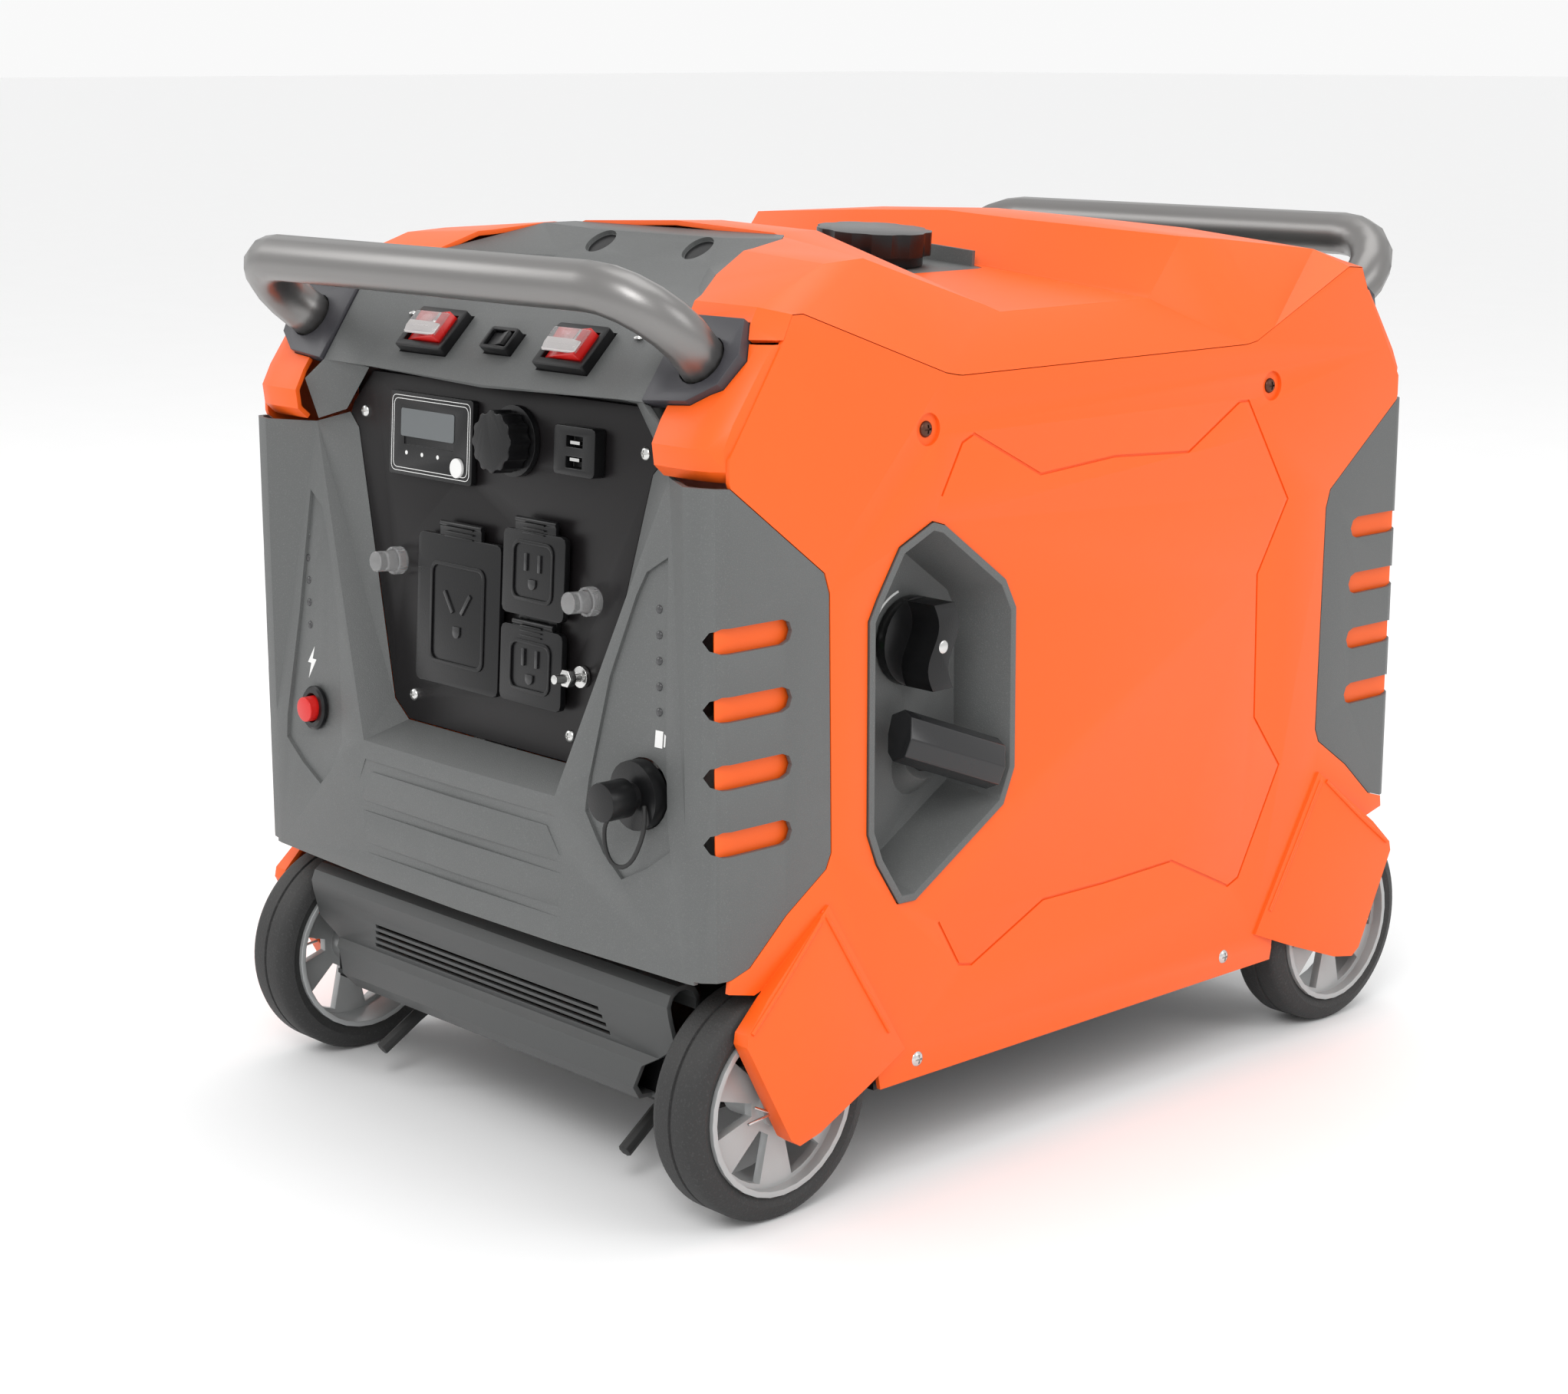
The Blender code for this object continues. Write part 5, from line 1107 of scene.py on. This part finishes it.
ROPE_SEAT = Vector((0.190, -0.126, 0.244))
PULL = Vector((0.908, 0.0, 0.419)).normalized()
RECESS_INK = (0.188 - 0.0004, 0.188 + 0.00035)


class GENERATOR_OT_starter(bpy.types.Operator):
    """Finish the pull grip and the fuel selector"""

    bl_idname = "generator.starter"
    bl_label = "Starter"

    def execute(self, context):
        small = sizes().small_round
        rework("starter_grip", glossy_black(), small * 1.5)
        rework("fuel_selector", black_plastic(), small * 1.5)
        cord = finish("braided rope", (0.03, 0.03, 0.032), 0.8, scale=260.0, depth=0.9,
                      rub=0.0, dust=0.0, speckle=0.3)
        first, last = ROPE_SEAT - PULL * 0.004, ROPE_SEAT + PULL * 0.014
        rope = tube("starter_rope", fine_steps([first, last], 36), 0.0018)
        rope.data.materials.append(cord)
        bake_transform(rope)
        low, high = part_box("fuel_selector")
        centre = ((low[1] + high[1]) / 2, (low[2] + high[2]) / 2)
        middle = Vector((high[0] - 0.0004, *centre))
        cap = dome("selector_screw", middle, (1, 0, 0), 0.0042, 0.0012)
        attach(cap, bright_steel(), BODY_OF["fuel_selector"])
        line = arc(centre, 0.0310, 105, 165, 16)
        tip = line[-1]
        arrow = slab("selector_arrow", [band(line, 0.0013)], "X", *RECESS_INK)
        attach(arrow, marking())
        head = slab("selector_arrow_head", [[(tip[0] - 0.0026, tip[1] + 0.0004),
                                             (tip[0] + 0.0026, tip[1] + 0.0004),
                                             (tip[0] - 0.0004, tip[1] - 0.0045)]], "X",
                    *RECESS_INK)
        attach(head, marking())
        green = finish("green mark", (0.03, 0.30, 0.05), 0.4, scale=500.0, depth=0.03, rub=0.0,
                       dust=0.0)
        dot = slab("selector_mark", [circle((centre[0] - 0.0335, centre[1]), 0.0022, 20)], "X",
                   *RECESS_INK)
        attach(dot, green)
        return {"FINISHED"}


class GENERATOR_OT_filler(bpy.types.Operator):
    """Finish the filler tray and the fuel cap"""

    bl_idname = "generator.filler"
    bl_label = "Filler"

    def execute(self, context):
        rework("filler_tray", grey_plastic(), 0.0010)
        rework("fuel_cap", black_plastic(), 0.0008)
        return {"FINISHED"}


class GENERATOR_OT_inside(bpy.types.Operator):
    """Give the pieces inside the covers their finishes"""

    bl_idname = "generator.inside"
    bl_label = "Inside"

    def execute(self, context):
        finishes = {"engine": (cast_metal(), "cast_alloy"), "muffler": (cast_metal(), "cast_alloy"),
                    "rotor": (cast_metal(), "cast_alloy"),
                    "inverter_module": (cast_metal(), "cast_alloy"),
                    "fuel_tank": (black_plastic(), "black_plastic"),
                    "battery": (black_plastic(), "black_plastic"),
                    "starter_reel": (black_plastic(), "black_plastic")}
        for node, (material, label) in finishes.items():
            rework(node, material, 0.0006)
        return {"FINISHED"}


# ---- The stage -------------------------------------------------------------------------
LIGHTS = (((1.6, -2.2, 2.4), 1.2, 34.0), ((2.6, 0.8, 1.8), 1.2, 10.0),
          ((-2.2, -1.6, 1.8), 1.2, 12.0), ((0.0, 0.6, 3.0), 2.0, 20.0))
LIGHT_AIM = Vector((0, 0, 0.3))
AZIMUTH, ELEVATION = radians(47.04), radians(12.58)
CAMERA_PLACE = Vector((1.3723, -1.3315, 0.6595))


class GENERATOR_OT_stage(bpy.types.Operator):
    """Build the pale floor, the soft lights and the camera"""

    bl_idname = "generator.stage"
    bl_label = "Stage"

    def execute(self, context):
        scene = bpy.context.scene
        reach = sizes().floor_reach
        floor = slab("studio_floor", [rectangle(-reach, reach, -reach, reach)], "Z",
                     -0.02, 0.0)
        floor.data.materials.clear()
        floor.data.materials.append(finish("studio floor", (0.94, 0.94, 0.94), 0.7, scale=40.0,
                                           depth=0.02, tone=0.01, rub=0.0, dust=0.0))
        world = bpy.data.worlds.new("studio")
        world.use_nodes = True
        world.node_tree.nodes["Background"].inputs["Color"].default_value = (1, 1, 1, 1)
        world.node_tree.nodes["Background"].inputs["Strength"].default_value = 0.95
        scene.view_settings.view_transform = "Standard"
        scene.world = world
        for index, (place, size, power) in enumerate(LIGHTS):
            light = bpy.data.lights.new(f"softbox_{index}", "AREA")
            light.shape = "SQUARE"
            light.size = size
            light.energy = power
            lamp = bpy.data.objects.new(f"softbox_{index}", light)
            scene.collection.objects.link(lamp)
            aim = LIGHT_AIM - Vector(place)
            lamp.location = place
            lamp.rotation_euler = aim.to_track_quat("-Z", "Y").to_euler()
        back = Vector((sin(AZIMUTH) * cos(ELEVATION), -cos(AZIMUTH) * cos(ELEVATION),
                       sin(ELEVATION)))
        right = Vector((0, 0, 1)).cross(back).normalized()
        camera = bpy.data.cameras.new("camera")
        camera.lens = 66.75
        camera.sensor_width = 36
        holder = bpy.data.objects.new("camera", camera)
        scene.collection.objects.link(holder)
        turn = Matrix((right, back.cross(right), back)).transposed().to_4x4()
        turn.translation = CAMERA_PLACE
        holder.matrix_world = turn
        scene.camera = holder
        return {"FINISHED"}


class GENERATOR_PT_panel(bpy.types.Panel):
    """Sidebar panel with the settings and the building steps"""

    bl_label = "Generator"
    bl_idname = "GENERATOR_PT_panel"
    bl_space_type = "VIEW_3D"
    bl_region_type = "UI"
    bl_category = "Generator"

    def draw(self, context):
        for settings in (context.scene.generator_sizes, context.scene.generator_colours):
            for name in settings.__annotations__:
                self.layout.prop(settings, name)
        for step in STEPS:
            self.layout.operator(f"generator.{step}")


STEPS = ("covers", "chassis", "wheels", "handles", "panel", "console", "columns", "starter",
         "filler", "inside", "stage")
CLASSES = (GeneratorSizes, GeneratorColours, GENERATOR_OT_covers, GENERATOR_OT_chassis,
           GENERATOR_OT_wheels, GENERATOR_OT_handles, GENERATOR_OT_panel,
           GENERATOR_OT_console, GENERATOR_OT_columns, GENERATOR_OT_starter,
           GENERATOR_OT_filler, GENERATOR_OT_inside, GENERATOR_OT_stage, GENERATOR_PT_panel)


def register():
    """Register the classes and hang the settings on the scene."""
    for item in CLASSES:
        bpy.utils.register_class(item)
    bpy.types.Scene.generator_sizes = bpy.props.PointerProperty(type=GeneratorSizes)
    bpy.types.Scene.generator_colours = bpy.props.PointerProperty(type=GeneratorColours)


def unregister():
    """Take the settings off the scene and unregister the classes."""
    del bpy.types.Scene.generator_colours
    del bpy.types.Scene.generator_sizes
    for item in reversed(CLASSES):
        bpy.utils.unregister_class(item)


def main():
    """Build every step."""
    register()
    for step in STEPS:
        getattr(bpy.ops.generator, step)()


if __name__ == "__main__":
    main()
